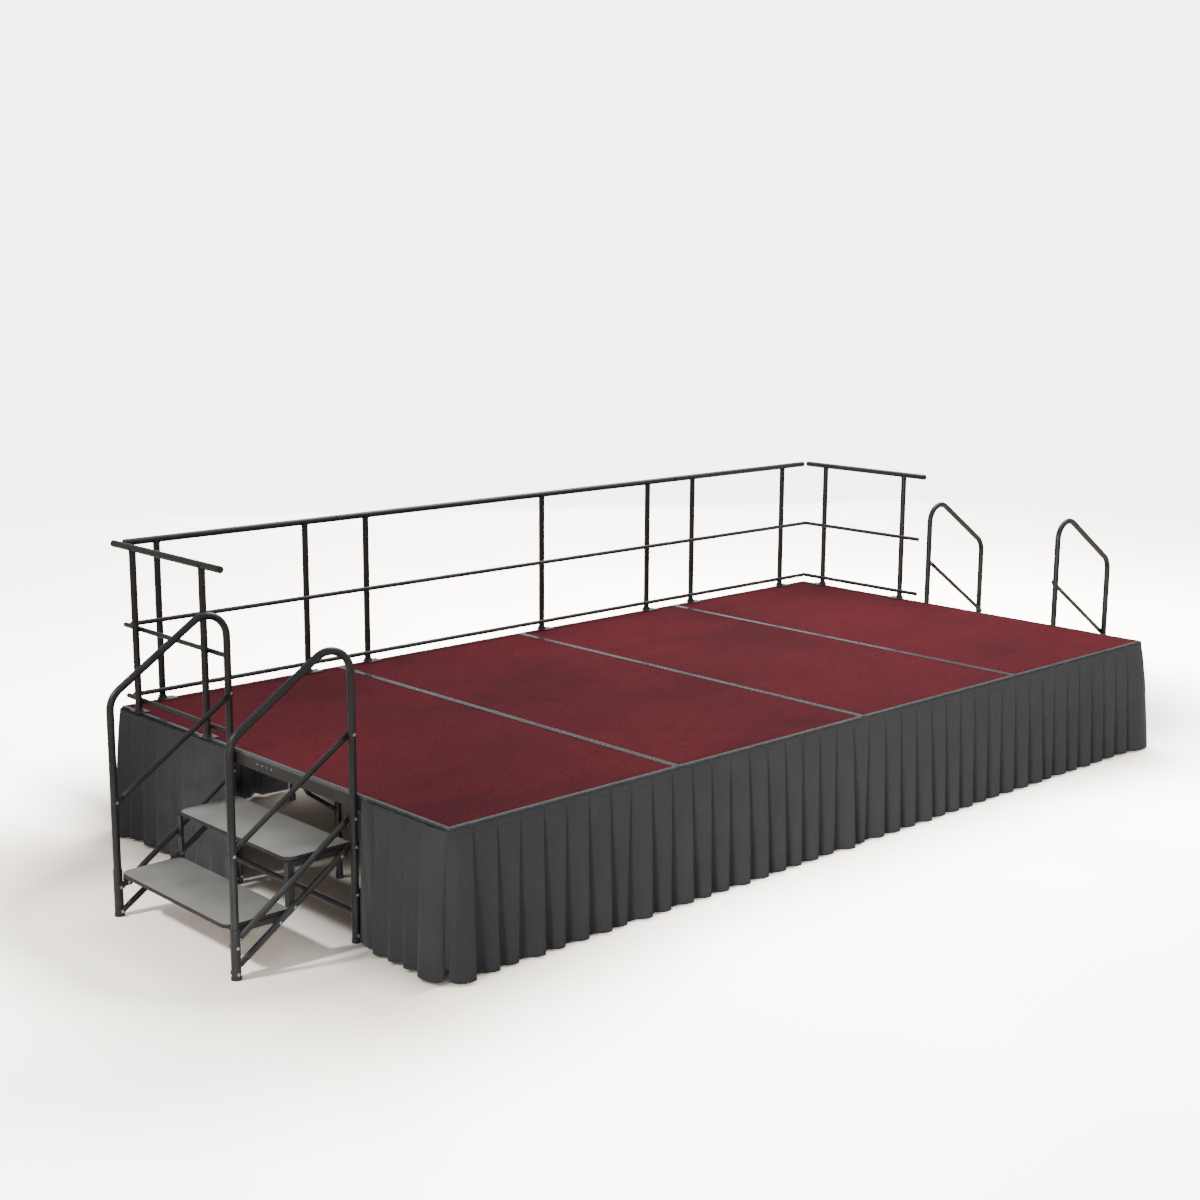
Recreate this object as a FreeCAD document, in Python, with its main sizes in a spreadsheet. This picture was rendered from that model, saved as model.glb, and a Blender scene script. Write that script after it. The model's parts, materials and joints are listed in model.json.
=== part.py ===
import FreeCAD, Part
import math
import os
import re
import Sketcher
from types import SimpleNamespace

# A portable stage: four folding-leg deck units clamped side by side, five lift-off
# guard-rail sections, two free-standing stair units and a pleated skirt.
# +X runs along the 16 ft front, +Y to the back edge with the guard rails, +Z up.
# The origin is on the floor under the middle of the deck. All sizes are in millimetres.

DRIVING_SIZES = {
    # deck units
    "unit_width": 1219.2, "unit_gap": 3.0, "unit_length": 2438.4, "deck_height": 609.6,
    "trim_wall": 2.0, "trim_lip": 13.0, "trim_drop": 14.6,
    "carpet_thickness": 6.0, "panel_thickness": 19.0,
    "apron_bottom": 545.0, "apron_height": 49.0, "apron_wall": 2.5, "apron_ledge": 25.0,
    "crossbar_width": 40.0, "crossbar_thickness": 6.0, "crossbar_offset": 620.0,
    # folding legs
    "leg_radius": 14.3, "leg_wall": 1.2, "hinge_height": 560.0, "hinge_half_length": 598.0,
    "leg_offset": 241.0, "outer_row_offset": 1110.0, "middle_row_offset": 17.0,
    "brace_radius": 9.5, "brace_wall": 1.2, "brace_foot_height": 305.0,
    "brace_knee_offset": 403.0, "brace_knee_height": 424.0, "brace_top_offset": 440.0,
    "brace_bend": 60.0,
    "cap_radius": 17.0, "cap_height": 30.0, "cap_floor": 4.0,
    "bracket_length": 150.0, "bracket_wall": 3.0, "bracket_bottom": 547.0,
    "bracket_height": 32.5, "hinge_pin_radius": 13.0, "hinge_pin_length": 40.0,
    "rivet_radius": 2.4, "rivet_head_radius": 4.0, "rivet_head_height": 1.4,
    "rivet_pitch": 36.0, "rivet_height": 575.0,
    # lock stays and the tracks that they slide in
    "stay_plane": 213.0, "stay_arm": 170.0, "stay_reach": 200.0,
    "stay_width": 20.0, "stay_thickness": 4.0,
    "stud_radius": 4.0, "stud_collar_radius": 6.0, "stud_head_radius": 7.0,
    "stud_head_thickness": 2.8, "stud_play": 0.2,
    "stay_hole_radius": 4.1, "roller_radius": 5.0, "roller_length": 12.0,
    "tie_radius": 4.0, "tie_drop": 13.0,
    "track_start": 188.0, "track_length": 262.0, "track_width": 18.0,
    "track_wall": 2.0, "track_bottom": 553.0,
    # clips that join neighbouring units
    "clip_length": 60.0, "clip_bottom": 541.8, "clip_height": 33.0, "clip_wall": 3.0,
    "clip_slot": 8.2, "clip_offset": 420.0,
    # guard rails
    "rail_radius": 15.875, "rail_wall": 1.6, "slat_radius": 11.1, "slat_wall": 1.4,
    "rail_height": 1375.0, "mid_slat_height": 996.0, "low_slat_height": 659.0,
    "post_foot_height": 627.0, "rail_line_offset": 0.5, "plug_thickness": 2.0,
    "plate_thickness": 3.0, "plate_length": 85.0, "plate_width": 62.0,
    "plate_inset": 44.5, "plate_flange": 52.0, "plate_side": 25.0,
    "spigot_radius": 13.8, "spigot_height": 60.0,
    "flare_radius": 24.0, "neck_radius": 17.0, "flare_height": 14.0,
    # fasteners
    "bolt_radius": 4.0, "bolt_head_radius": 7.0, "bolt_head_height": 4.0,
    "edge_bolt_height": 571.0,
    # skirting
    "skirt_top": 601.0, "skirt_bottom": 5.0, "skirt_header": 14.0, "skirt_hem": 58.0,
    "front_skirt_gap": 3.0, "side_skirt_gap": 11.0, "skirt_return": 914.0,
    # stair units
    "stair_front": 3005.0, "stair_back": 2455.0,
    "stair_near_side": 645.0, "stair_far_side": 250.0,
    "socket_radius": 19.0, "socket_bore": 16.2, "socket_height": 200.0,
    "handrail_knee": 923.0, "handrail_peak": 1288.0, "handrail_bend": 100.0,
    "handrail_foot": 12.0, "back_post_foot": 6.0,
    "stair_slat_front": 487.0, "stair_slat_back": 855.0,
    "upper_stringer_front": 128.0, "upper_stringer_back": 516.0,
    "lower_stringer_front": 24.0, "lower_stringer_back": 400.0,
    "stringer_radius": 12.7, "stringer_wall": 1.6,
    "flat_length": 38.0, "flat_lap": 12.0, "flat_thickness": 5.0, "flat_width": 24.0,
    "tread_thickness": 16.0, "tread_corner": 45.0, "tread_inset": 38.5,
    "lower_tread_height": 203.2, "upper_tread_height": 406.4,
    "lower_tread_front": 3020.0, "lower_tread_back": 2735.0,
    "upper_tread_front": 2745.0, "upper_tread_back": 2445.0,
    "side_plate": 3.0, "side_plate_depth": 22.0, "side_flange": 25.0,
    "strut_width": 27.0, "strut_foot": 192.0,
    "stretcher_height": 125.0, "stub_height": 215.0, "collar_height": 26.0,
}

doc = FreeCAD.newDocument("stage_riser")
sheet = doc.addObject("Spreadsheet::Sheet", "sizes")
for row, (alias, amount) in enumerate(DRIVING_SIZES.items(), 1):
    sheet.set(f"A{row}", alias)
    sheet.set(f"B{row}", str(amount))
    sheet.setAlias(f"B{row}", alias)
doc.recompute()
d = SimpleNamespace(**{alias: float(sheet.get(alias)) for alias in DRIVING_SIZES})

nodes = []
X_AXIS = FreeCAD.Vector(1, 0, 0)
Z_AXIS = FreeCAD.Vector(0, 0, 1)
SIDES = (-1, 1)


# ---------------------------------------------------------------- building blocks

def formula(text):
    """Turn the aliases in a formula into references to the spreadsheet."""
    return re.sub(r"[a-z_]{3,}", lambda word: "sizes." + word.group(0), str(text))


def place(feature, corner, rotation=None):
    feature.Placement = FreeCAD.Placement(
        FreeCAD.Vector(*corner), rotation or FreeCAD.Rotation())
    return feature


def box(name, extents, corner):
    """A block: three formulas for its extents and its lowest corner."""
    block = doc.addObject("Part::Box", name)
    for side, text in zip(("Length", "Width", "Height"), extents):
        block.setExpression(side, formula(text))
    return place(block, corner)


def box_beside(name, extents, side, edge, corner_y, corner_z):
    """A block that reaches from a face at x = edge towards the middle (side is -1 or 1)."""
    block = box(name, extents, (0, corner_y, corner_z))
    doc.recompute([block])
    reach = block.Length.Value
    return place(block, (edge - reach if side > 0 else edge, corner_y, corner_z))


def rod(name, radius, start, end):
    """A solid round bar between two points; its radius is a formula."""
    start = FreeCAD.Vector(*start)
    along = FreeCAD.Vector(*end) - start
    bar = doc.addObject("Part::Cylinder", name)
    bar.setExpression("Radius", formula(radius))
    bar.Height = along.Length
    return place(bar, start, FreeCAD.Rotation(Z_AXIS, along))


def cut(name, base, tool):
    result = doc.addObject("Part::Cut", name)
    result.Base = base
    result.Tool = tool
    return result


def fuse(name, pieces):
    result = doc.addObject("Part::MultiFuse", name)
    result.Shapes = pieces
    return result


def compound(name, pieces, corner=(0, 0, 0), rotation=None):
    result = doc.addObject("Part::Compound", name)
    result.Links = pieces
    return place(result, corner, rotation)


def node(label, pieces, corner=(0, 0, 0), rotation=None):
    """A named sub-part of the object, written to its own file."""
    result = compound(label, pieces, corner, rotation)
    result.Label = label
    nodes.append(result)
    return result


def mirrored(label, source):
    """The same sub-part at the other end of the stage."""
    result = doc.addObject("Part::Mirroring", label)
    result.Source = source
    result.Base = FreeCAD.Vector()
    result.Normal = X_AXIS
    result.Label = label
    nodes.append(result)
    return result


def tube(name, radius, wall, start, end, notches=()):
    """A hollow straight tube, notched to fit the round tubes that it is welded to."""
    piece = cut(name, rod(name + "_outside", radius, start, end),
                rod(name + "_bore", f"{radius} - {wall}", start, end))
    for index, notch in enumerate(notches):
        piece = cut(f"{name}_notch_{index}", piece, notch)
    return piece


def cup(name, radius, height, floor, tube_radius, foot):
    """A plastic foot: a cup round the end of a tube that stands on the cup's floor."""
    x, y, z = foot
    outside = rod(name + "_outside", radius, foot, (x, y, z + height))
    inside = rod(name + "_inside", tube_radius, (x, y, z + floor), (x, y, z + height))
    return cut(name, outside, inside)


def origin_plane(body, role):
    return next(plane for plane in body.Origin.OriginFeatures if plane.Role == role)


def sketch_on(body, name, role):
    sketch = body.newObject("Sketcher::SketchObject", name)
    sketch.AttachmentSupport = [(origin_plane(body, role), "")]
    sketch.MapMode = "FlatFace"
    return sketch


def prism(name, role, points, depth, centre=(0, 0, 0)):
    """A closed outline on an origin plane, padded evenly to both sides of it."""
    body = doc.addObject("PartDesign::Body", name)
    sketch = sketch_on(body, name + "_outline", role)
    corners = [FreeCAD.Vector(a, b, 0) for a, b in points]
    for first, second in zip(corners, corners[1:] + corners[:1]):
        sketch.addGeometry(Part.LineSegment(first, second))
    pad = body.newObject("PartDesign::Pad", name + "_pad")
    pad.Profile = sketch
    pad.SideType = "Symmetric"
    pad.setExpression("Length", formula(depth))
    body.Tip = pad
    return place(body, centre)


def add_bent_path(sketch, points, bend):
    """Straight runs joined by tangent arcs of one bend radius."""
    corners = [FreeCAD.Vector(a, b, 0) for a, b in points]
    start = corners[0]
    for before, corner, after in zip(corners, corners[1:], corners[2:]):
        inward = (before - corner).normalize()
        outward = (after - corner).normalize()
        half_turn = (math.pi - inward.getAngle(outward)) / 2
        reach = bend * math.tan(half_turn)
        middle = (inward + outward).normalize()
        apex = corner + middle * (bend / math.cos(half_turn) - bend)
        sketch.addGeometry(Part.LineSegment(start, corner + inward * reach))
        sketch.addGeometry(Part.Arc(corner + inward * reach, apex, corner + outward * reach))
        start = corner + outward * reach
    sketch.addGeometry(Part.LineSegment(start, corners[-1]))


def bent_tube(name, points, radius, wall, bend, plane_y=0.0):
    """A hollow tube swept along a bent path in a plane parallel to XZ."""
    body = doc.addObject("PartDesign::Body", name)
    path = sketch_on(body, name + "_path", "XZ_Plane")
    add_bent_path(path, points, bend)
    first, second = (FreeCAD.Vector(a, 0, b) for a, b in points[:2])
    facing = FreeCAD.Rotation(Z_AXIS, second - first)
    for kind, size in (("AdditivePipe", radius), ("SubtractivePipe", f"{radius} - {wall}")):
        section = sketch_on(body, f"{name}_{kind}_section", "XY_Plane")
        section.AttachmentOffset = FreeCAD.Placement(first, facing)
        section.addGeometry(Part.Circle(FreeCAD.Vector(), Z_AXIS, d.rail_radius))
        section.addConstraint(Sketcher.Constraint("Radius", 0, d.rail_radius))
        section.addConstraint(Sketcher.Constraint("Coincident", 0, 3, -1, 1))
        section.setExpression("Constraints[0]", formula(size))
        pipe = body.newObject("PartDesign::" + kind, f"{name}_{kind}")
        pipe.Profile = section
        pipe.Spine = path
        body.Tip = pipe
    return place(body, (0, plane_y, 0))


# ---------------------------------------------------------------- deck units

unit_clear = d.unit_width - d.unit_gap
half_clear = unit_clear / 2
half_length = d.unit_length / 2
stage_edge = 2 * d.unit_width - d.unit_gap / 2
unit_centres = [(index - 1.5) * d.unit_width for index in range(4)]
carpet_bottom = d.deck_height - d.trim_wall - d.carpet_thickness
panel_bottom = carpet_bottom - d.panel_thickness
web_inside = half_clear - d.apron_wall
rows = {
    "front": (-d.outer_row_offset, FreeCAD.Rotation()),
    "middle": (d.middle_row_offset, FreeCAD.Rotation(Z_AXIS, 180)),
    "back": (d.outer_row_offset, FreeCAD.Rotation(Z_AXIS, 180)),
}


def edge_lengths(name, wall, drop, wall_bottom, flange, flange_bottom):
    """Four L-sections round one unit: two full-length sides and two ends between them."""
    pieces = []
    for side in SIDES:
        edge = side * half_clear
        thickness = getattr(d, wall)
        web = box_beside(f"{name}_side_web", (wall, "unit_length", drop),
                         side, edge, -half_length, wall_bottom)
        lip = box_beside(f"{name}_side_lip", (flange, "unit_length", wall),
                         side, edge - side * thickness, -half_length, flange_bottom)
        pieces.append(fuse(f"{name}_side", [web, lip]))
        end_y = side * half_length
        run = f"unit_width - unit_gap - 2 * {wall}"
        end_web = box(f"{name}_end_web", (run, wall, drop),
                      (thickness - half_clear, min(end_y, end_y - side * thickness),
                       wall_bottom))
        lip_from = end_y - side * thickness
        lip_depth = getattr(d, flange)
        end_lip = box(f"{name}_end_lip", (f"{run} - 2 * {flange}", flange, wall),
                      (thickness + lip_depth - half_clear,
                       min(lip_from, lip_from - side * lip_depth), flange_bottom))
        pieces.append(fuse(f"{name}_end", [end_web, end_lip]))
    return pieces


def deck_node(label, template):
    """One node holding the same sub-assembly of all four units."""
    return node(label, [compound(f"{label}_{unit}", [template], (centre, 0, 0))
                        for unit, centre in enumerate(unit_centres, 1)])


def at_every_frame(name, template):
    """Copies of a template at all twelve leg frames."""
    copies = []
    for centre in unit_centres:
        for row_name, (row_y, turn) in rows.items():
            copies.append(compound(f"{name}_{row_name}", [template], (centre, row_y, 0), turn))
    return copies


def rivets_of_frame(name, radius, start_offset, end_offset):
    """The rivet line of both hinge brackets, between two distances from the outer face."""
    pieces = []
    for side in SIDES:
        for index in range(4):
            rivet_y = (index - 1.5) * d.rivet_pitch
            pieces.append(rod(name, radius,
                              (side * (half_clear + start_offset), rivet_y, d.rivet_height),
                              (side * (half_clear + end_offset), rivet_y, d.rivet_height)))
    return compound(name + "_set", pieces)


def make_deck():
    carpet_width = "unit_width - unit_gap - 2 * trim_wall - 0.4"
    for unit, centre in enumerate(unit_centres, 1):
        carpet = box(f"carpet_{unit}_pile",
                     (carpet_width, "unit_length - 2 * trim_wall - 0.4", "carpet_thickness"),
                     (centre - half_clear + d.trim_wall + 0.2,
                      -half_length + d.trim_wall + 0.2, carpet_bottom))
        node(f"carpet_{unit}", [carpet])
    panel = box("panel", ("unit_width - unit_gap - 2 * apron_wall",
                          "unit_length - 2 * apron_wall", "panel_thickness"),
                (-web_inside, -half_length + d.apron_wall, panel_bottom))
    deck_node("deck_panels", panel)
    trim = compound("trim", edge_lengths(
        "trim", "trim_wall", "trim_drop", d.deck_height - d.trim_drop,
        "trim_lip", d.deck_height - d.trim_wall))
    deck_node("edge_trims", trim)


def make_apron(rivet_holes, bolt_holes):
    """Steel angles under the panel's edges, with two flat bars across."""
    pieces = edge_lengths("apron", "apron_wall", "apron_height", d.apron_bottom,
                          "apron_ledge", panel_bottom - d.apron_wall)
    for side in SIDES:
        pieces.append(box("crossbar", (
            "unit_width - unit_gap - 2 * apron_wall - 2 * apron_ledge",
            "crossbar_width", "crossbar_thickness"),
            (d.apron_ledge - web_inside, side * d.crossbar_offset - d.crossbar_width / 2,
             panel_bottom - d.crossbar_thickness)))
    apron = compound("apron", pieces)
    aprons = compound("aprons", [compound("apron_of_unit", [apron], (centre, 0, 0))
                                 for centre in unit_centres])
    drilled = cut("aprons_riveted", aprons, rivet_holes)
    node("apron_frames", [cut("aprons_drilled", drilled, bolt_holes)])


def make_unit_clips():
    """Channels pushed up over the two aprons that meet at each seam."""
    clips = []
    seams = [centre + d.unit_width / 2 for centre in unit_centres[:-1]]
    for seam in seams:
        for side in SIDES:
            corner = (seam - d.clip_slot / 2 - d.clip_wall,
                      side * d.clip_offset - d.clip_length / 2, d.clip_bottom)
            block = box("clip_block", ("clip_slot + 2 * clip_wall", "clip_length",
                                       "clip_height"), corner)
            slot = box("clip_slot", ("clip_slot", "clip_length", "clip_height"),
                       (seam - d.clip_slot / 2, corner[1], d.clip_bottom + d.clip_wall))
            clips.append(cut("unit_clip", block, slot))
    node("unit_clips", clips)


# ---------------------------------------------------------------- folding legs

def make_hinge_brackets(rivet_holes):
    """Plates inside the aprons, each with the pin that a hinge tube turns on."""
    pieces = []
    for side in SIDES:
        plate = box_beside("bracket_plate", ("bracket_wall", "bracket_length",
                                             "bracket_height"),
                           side, side * web_inside, -d.bracket_length / 2, d.bracket_bottom)
        face = web_inside - d.bracket_wall
        pin = rod("bracket_pin", "hinge_pin_radius", (side * face, 0, d.hinge_height),
                  (side * (face - d.hinge_pin_length), 0, d.hinge_height))
        pieces.append(fuse("hinge_bracket", [plate, pin]))
    template = compound("bracket_pair", pieces)
    brackets = compound("brackets", at_every_frame("brackets_at", template))
    node("hinge_brackets", [cut("brackets_riveted", brackets, rivet_holes)])


def make_tracks():
    """Inverted channels under the panel for the stays' rollers."""
    pieces = []
    for side in SIDES:
        left = side * d.stay_plane - d.track_width / 2
        outside = box("track_block", ("track_width", "track_length",
                                      f"{panel_bottom} - track_bottom"),
                      (left, d.track_start, d.track_bottom))
        inside = box("track_slot", ("track_width - 2 * track_wall", "track_length",
                                    f"{panel_bottom} - track_wall - track_bottom"),
                     (left + d.track_wall, d.track_start, d.track_bottom))
        pieces.append(cut("track", outside, inside))
    template = compound("track_pair", pieces)
    node("stay_tracks", at_every_frame("tracks_at", template))


def stud(side, leg_cutter):
    """The shouldered pin on a leg that its stay turns on."""
    inner_face = d.stay_plane - d.stay_thickness / 2 - d.stud_play
    outer_face = d.stay_plane + d.stay_thickness / 2 + d.stud_play
    height = d.hinge_height - d.stay_arm
    steps = (("stud_head_radius", inner_face - d.stud_head_thickness, inner_face),
             ("stud_radius", inner_face, outer_face),
             ("stud_collar_radius", outer_face, d.leg_offset))
    pieces = [rod("stud_step", radius, (side * start, 0, height), (side * end, 0, height))
              for radius, start, end in steps]
    return cut("stud", fuse("stud_turned", pieces), leg_cutter)


def make_leg_template():
    """Hinge tube, two legs with plastic feet, two bent braces and two stay studs."""
    top = d.hinge_height
    hinge_cutter = rod("hinge_cutter", "leg_radius", (-d.hinge_half_length, 0, top),
                       (d.hinge_half_length, 0, top))
    pieces = [tube("hinge_tube", "leg_radius", "leg_wall",
                   (-d.hinge_half_length, 0, top), (d.hinge_half_length, 0, top))]
    for side in SIDES:
        leg_x = side * d.leg_offset
        leg_cutter = rod("leg_cutter", "leg_radius", (leg_x, 0, d.cap_floor),
                         (leg_x, 0, top))
        pieces.append(tube("leg", "leg_radius", "leg_wall", (leg_x, 0, d.cap_floor),
                           (leg_x, 0, top), [hinge_cutter]))
        brace = bent_tube("brace", [
            (leg_x, d.brace_foot_height), (side * d.brace_knee_offset, d.brace_knee_height),
            (side * d.brace_top_offset, top)], "brace_radius", "brace_wall", d.brace_bend)
        pieces.append(cut("brace_fitted", cut("brace_coped", brace, leg_cutter),
                          hinge_cutter))
        pieces.append(stud(side, leg_cutter))
        pieces.append(cup("leg_cap", "cap_radius", d.cap_height, d.cap_floor, "leg_radius",
                          (leg_x, 0, 0)))
    return compound("leg_frame", pieces)


def make_stay_template():
    """Two flat bars from the leg studs up to rollers in the tracks, joined by a tie rod."""
    stay_length = math.hypot(d.stay_arm, d.stay_reach)
    lean = math.degrees(math.atan2(d.stay_arm, d.stay_reach))
    pieces = []
    bars = []
    for side in SIDES:
        near = side * d.stay_plane - d.stay_thickness / 2
        far = near + d.stay_thickness
        blade = box("stay_blade", ("stay_thickness", f"{stay_length}", "stay_width"),
                    (near, 0, -d.stay_width / 2))
        ends = [rod("stay_end", "stay_width / 2", (near, along, 0), (far, along, 0))
                for along in (0, stay_length)]
        hole = rod("stay_hole", "stay_hole_radius", (near, 0, 0), (far, 0, 0))
        roller_hole = rod("roller_hole", "roller_radius", (near, stay_length, 0),
                          (far, stay_length, 0))
        bar = cut("stay_drilled", cut("stay_bored", fuse("stay_bar", [blade] + ends), hole),
                  roller_hole)
        bars.append(bar)
        middle = side * d.stay_plane
        half_roller = d.roller_length / 2
        pieces += [bar, rod("roller", "roller_radius", (middle - half_roller, stay_length, 0),
                            (middle + half_roller, stay_length, 0))]
    tie = rod("tie_bar", "tie_radius", (-d.stay_plane, stay_length / 2, -d.tie_drop),
              (d.stay_plane, stay_length / 2, -d.tie_drop))
    pieces.append(cut("tie_coped", tie, compound("tie_cutters", bars)))
    return compound("stay_pair", pieces, (0, 0, d.hinge_height - d.stay_arm),
                    FreeCAD.Rotation(X_AXIS, lean))


def make_legs():
    leg_template = make_leg_template()
    stay_template = make_stay_template()
    for unit, centre in enumerate(unit_centres, 1):
        for row_name, (row_y, turn) in rows.items():
            node(f"leg_frame_{unit}_{row_name}", [leg_template], (centre, row_y, 0), turn)
            node(f"lock_stay_{unit}_{row_name}", [stay_template], (centre, row_y, 0), turn)


# ---------------------------------------------------------------- guard rails

rail_line = half_length + d.rail_line_offset
side_line = stage_edge + d.rail_line_offset
slat_inset = d.rail_radius + d.slat_radius

# Each section along its own edge: ends of the top tube and of the slats, and its posts.
SECTIONS = {
    "guard_rail_back_left": ("back", (-2390.0, -1224.0), (-2386.0, -1224.0),
                             (-2225.0, -1401.0)),
    "guard_rail_back_middle": ("back", (-1214.0, 1214.0), (-1214.0, 1214.0),
                               (-1032.0, 170.0, 1000.0)),
    "guard_rail_back_right": ("back", (1224.0, 2396.0), (1224.0, 2394.0),
                              (1380.0, 2200.0)),
    "guard_rail_left": ("left", (312.0, 1230.0), (318.0, 1200.0), (464.0, 1060.0)),
    "guard_rail_right": ("right", (290.0, 1208.0), (300.0, 1200.0), (445.0, 1060.0)),
}


def on_edge(edge, along, inset, height):
    """A point by its place along an edge, its distance inside the edge and its height."""
    if edge == "back":
        return (along, rail_line - inset, height)
    side = -1 if edge == "left" else 1
    return (side * (side_line - inset), along, height)


def end_plugs(radius, start, end):
    """Plastic discs that close both ends of a tube."""
    faces = [FreeCAD.Vector(*start), FreeCAD.Vector(*end)]
    along = (faces[1] - faces[0]).normalize() * d.plug_thickness
    return [rod("end_plug", radius, faces[0], faces[0] - along),
            rod("end_plug", radius, faces[1], faces[1] + along)]


def make_guard_rail(label, edge, top_span, slat_span, posts):
    """Top tube and two slats welded to posts that drop over the spigots."""
    top_ends = [on_edge(edge, along, 0, d.rail_height) for along in top_span]
    top_cutter = rod("top_cutter", "rail_radius", *top_ends)
    pieces = [tube("top_tube", "rail_radius", "rail_wall", *top_ends)]
    pieces += end_plugs("rail_radius", *top_ends)
    for height in (d.mid_slat_height, d.low_slat_height):
        ends = [on_edge(edge, along, slat_inset, height) for along in slat_span]
        pieces.append(tube("slat", "slat_radius", "slat_wall", *ends))
        pieces += end_plugs("slat_radius", *ends)
    for along in posts:
        pieces.append(tube("post", "rail_radius", "rail_wall",
                           on_edge(edge, along, 0, d.post_foot_height),
                           on_edge(edge, along, 0, d.rail_height), [top_cutter]))
    node(label, pieces)


# Places of a bracket's two bolts along the edge, from its post.
EDGE_BOLTS = (-16.0, 50.0)


def socket_parts(edge, along):
    """A zinc-plated edge bracket with its bolts, and the flared spigot on it."""
    height = d.deck_height
    low = along - d.plate_side
    if edge == "back":
        plate = box("plate", ("plate_length", "plate_width", "plate_thickness"),
                    (low, rail_line - d.plate_inset, height))
        flange = box("flange", ("plate_length", "plate_thickness", "plate_flange"),
                     (low, half_length, height - d.plate_flange))
        outward = (0, 1)
    else:
        side = -1 if edge == "left" else 1
        plate = box_beside("plate", ("plate_width", "plate_length", "plate_thickness"),
                           side, side * (side_line - d.plate_inset + d.plate_width),
                           low, height)
        flange = box_beside("flange", ("plate_thickness", "plate_length", "plate_flange"),
                            side, side * (stage_edge + d.plate_thickness),
                            low, height - d.plate_flange)
        outward = (side, 0)
    foot = on_edge(edge, along, 0, height + d.plate_thickness)
    flare = doc.addObject("Part::Cone", "foot_flare")
    flare.setExpression("Radius1", "sizes.flare_radius")
    flare.setExpression("Radius2", "sizes.neck_radius")
    flare.setExpression("Height", "sizes.flare_height")
    place(flare, foot)
    spigot = rod("spigot", "spigot_radius", foot,
                 (foot[0], foot[1], foot[2] + d.spigot_height))
    heads = []
    shanks = []
    for offset in EDGE_BOLTS:
        x, y, z = on_edge(edge, along + offset, d.rail_line_offset, d.edge_bolt_height)
        from_x, from_y = (x - outward[0] * d.apron_wall, y - outward[1] * d.apron_wall)
        face_x, face_y = (x + outward[0] * d.plate_thickness,
                          y + outward[1] * d.plate_thickness)
        head_x, head_y = (face_x + outward[0] * d.bolt_head_height,
                          face_y + outward[1] * d.bolt_head_height)
        shanks.append(rod("edge_shank", "bolt_radius", (from_x, from_y, z),
                          (face_x, face_y, z)))
        heads.append(rod("edge_head", "bolt_head_radius", (face_x, face_y, z),
                         (head_x, head_y, z)))
    return fuse("edge_plate", [plate, flange]), fuse("rail_spigot", [flare, spigot]), \
        shanks, heads


def make_sockets(rivet_heads):
    """Edge brackets, spigots and bolts for every post; returns the bolt shanks and bolts."""
    plates, spigots, shanks, bolts = [], [], [], []
    for edge, _, _, posts in SECTIONS.values():
        for along in posts:
            plate, spigot, its_shanks, heads = socket_parts(edge, along)
            plates.append(plate)
            spigots.append(spigot)
            shanks += its_shanks
            bolts += [fuse("edge_bolt", pair) for pair in zip(its_shanks, heads)]
    holes = compound("edge_bolt_holes", shanks)
    bored = cut("plates_bored", compound("edge_plates", plates), holes)
    node("rail_brackets", [cut("plates_relieved", bored, rivet_heads)])
    node("rail_spigots", spigots)
    return holes, bolts


# ---------------------------------------------------------------- skirting

def skirt_section(gap):
    """Cross-section of the hanging pleats: how far out at the header and at the hem."""
    return [(gap, d.skirt_bottom), (gap, d.skirt_top), (gap + d.skirt_header, d.skirt_top),
            (gap + d.skirt_hem, d.skirt_bottom)]


def front_or_back_skirt(name, side, start, end):
    """A skirt length along the front (side -1) or the back (side 1) edge."""
    gap = d.front_skirt_gap if side < 0 else d.side_skirt_gap
    points = [(side * (half_length + out), height) for out, height in skirt_section(gap)]
    return prism(name, "YZ_Plane", points, f"{end - start}", ((start + end) / 2, 0, 0))


def left_skirt(name, start, end):
    points = [(-(stage_edge + out), height) for out, height in
              skirt_section(d.side_skirt_gap)]
    return prism(name, "XZ_Plane", points, f"{end - start}", (0, (start + end) / 2, 0))


def make_skirts():
    corner = stage_edge + d.side_skirt_gap
    hem = half_length + d.side_skirt_gap + d.skirt_hem
    near_edge = d.socket_radius + d.bolt_head_height + 3.0
    node("skirt_front", [front_or_back_skirt("front_pleats", -1, 0.5 - corner,
                                             corner - 0.5)])
    front_part = node("skirt_left_front", [left_skirt(
        "left_front_pleats", -hem, -(d.stair_near_side + near_edge))])
    side_part = left_skirt("left_back_pleats", d.stair_far_side + near_edge, hem)
    return_part = front_or_back_skirt("back_return_pleats", 1, 0.5 - corner,
                                      d.skirt_return - corner)
    back_part = node("skirt_left_back", [side_part, return_part])
    mirrored("skirt_right_front", front_part)
    mirrored("skirt_right_back", back_part)


# ---------------------------------------------------------------- stair units

# The two sides of a stair: y of the posts, and which way is inboard.
STAIR_SIDES = ((-d.stair_near_side, 1), (d.stair_far_side, -1))
FRONT_POST = -d.stair_front
BACK_POST = -d.stair_back
stringer_inset = d.socket_radius + d.flat_thickness / 2
plate_inset = stringer_inset + d.stringer_radius + 0.3
# The short leg stands against the back post, flush with its outer side.
stub_shift = d.rail_radius - d.stringer_radius
stub_post = BACK_POST + math.sqrt((d.rail_radius + d.stringer_radius) ** 2 - stub_shift ** 2)
STRAP_HEIGHTS = (32.0, 203.0)
LOWER_FRONT_BOLT = -2976.0
LOWER_BACK_BOLT = -2796.0
UPPER_BACK_BOLT = -2505.0
STRUT_LINE = -2728.0


def across(name, radius, x, z, side, start, end):
    """A round bar across a stair side, between two distances inboard of the posts."""
    post_y, inboard = side
    return rod(name, radius, (x, post_y + inboard * start, z),
               (x, post_y + inboard * end, z))


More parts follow.
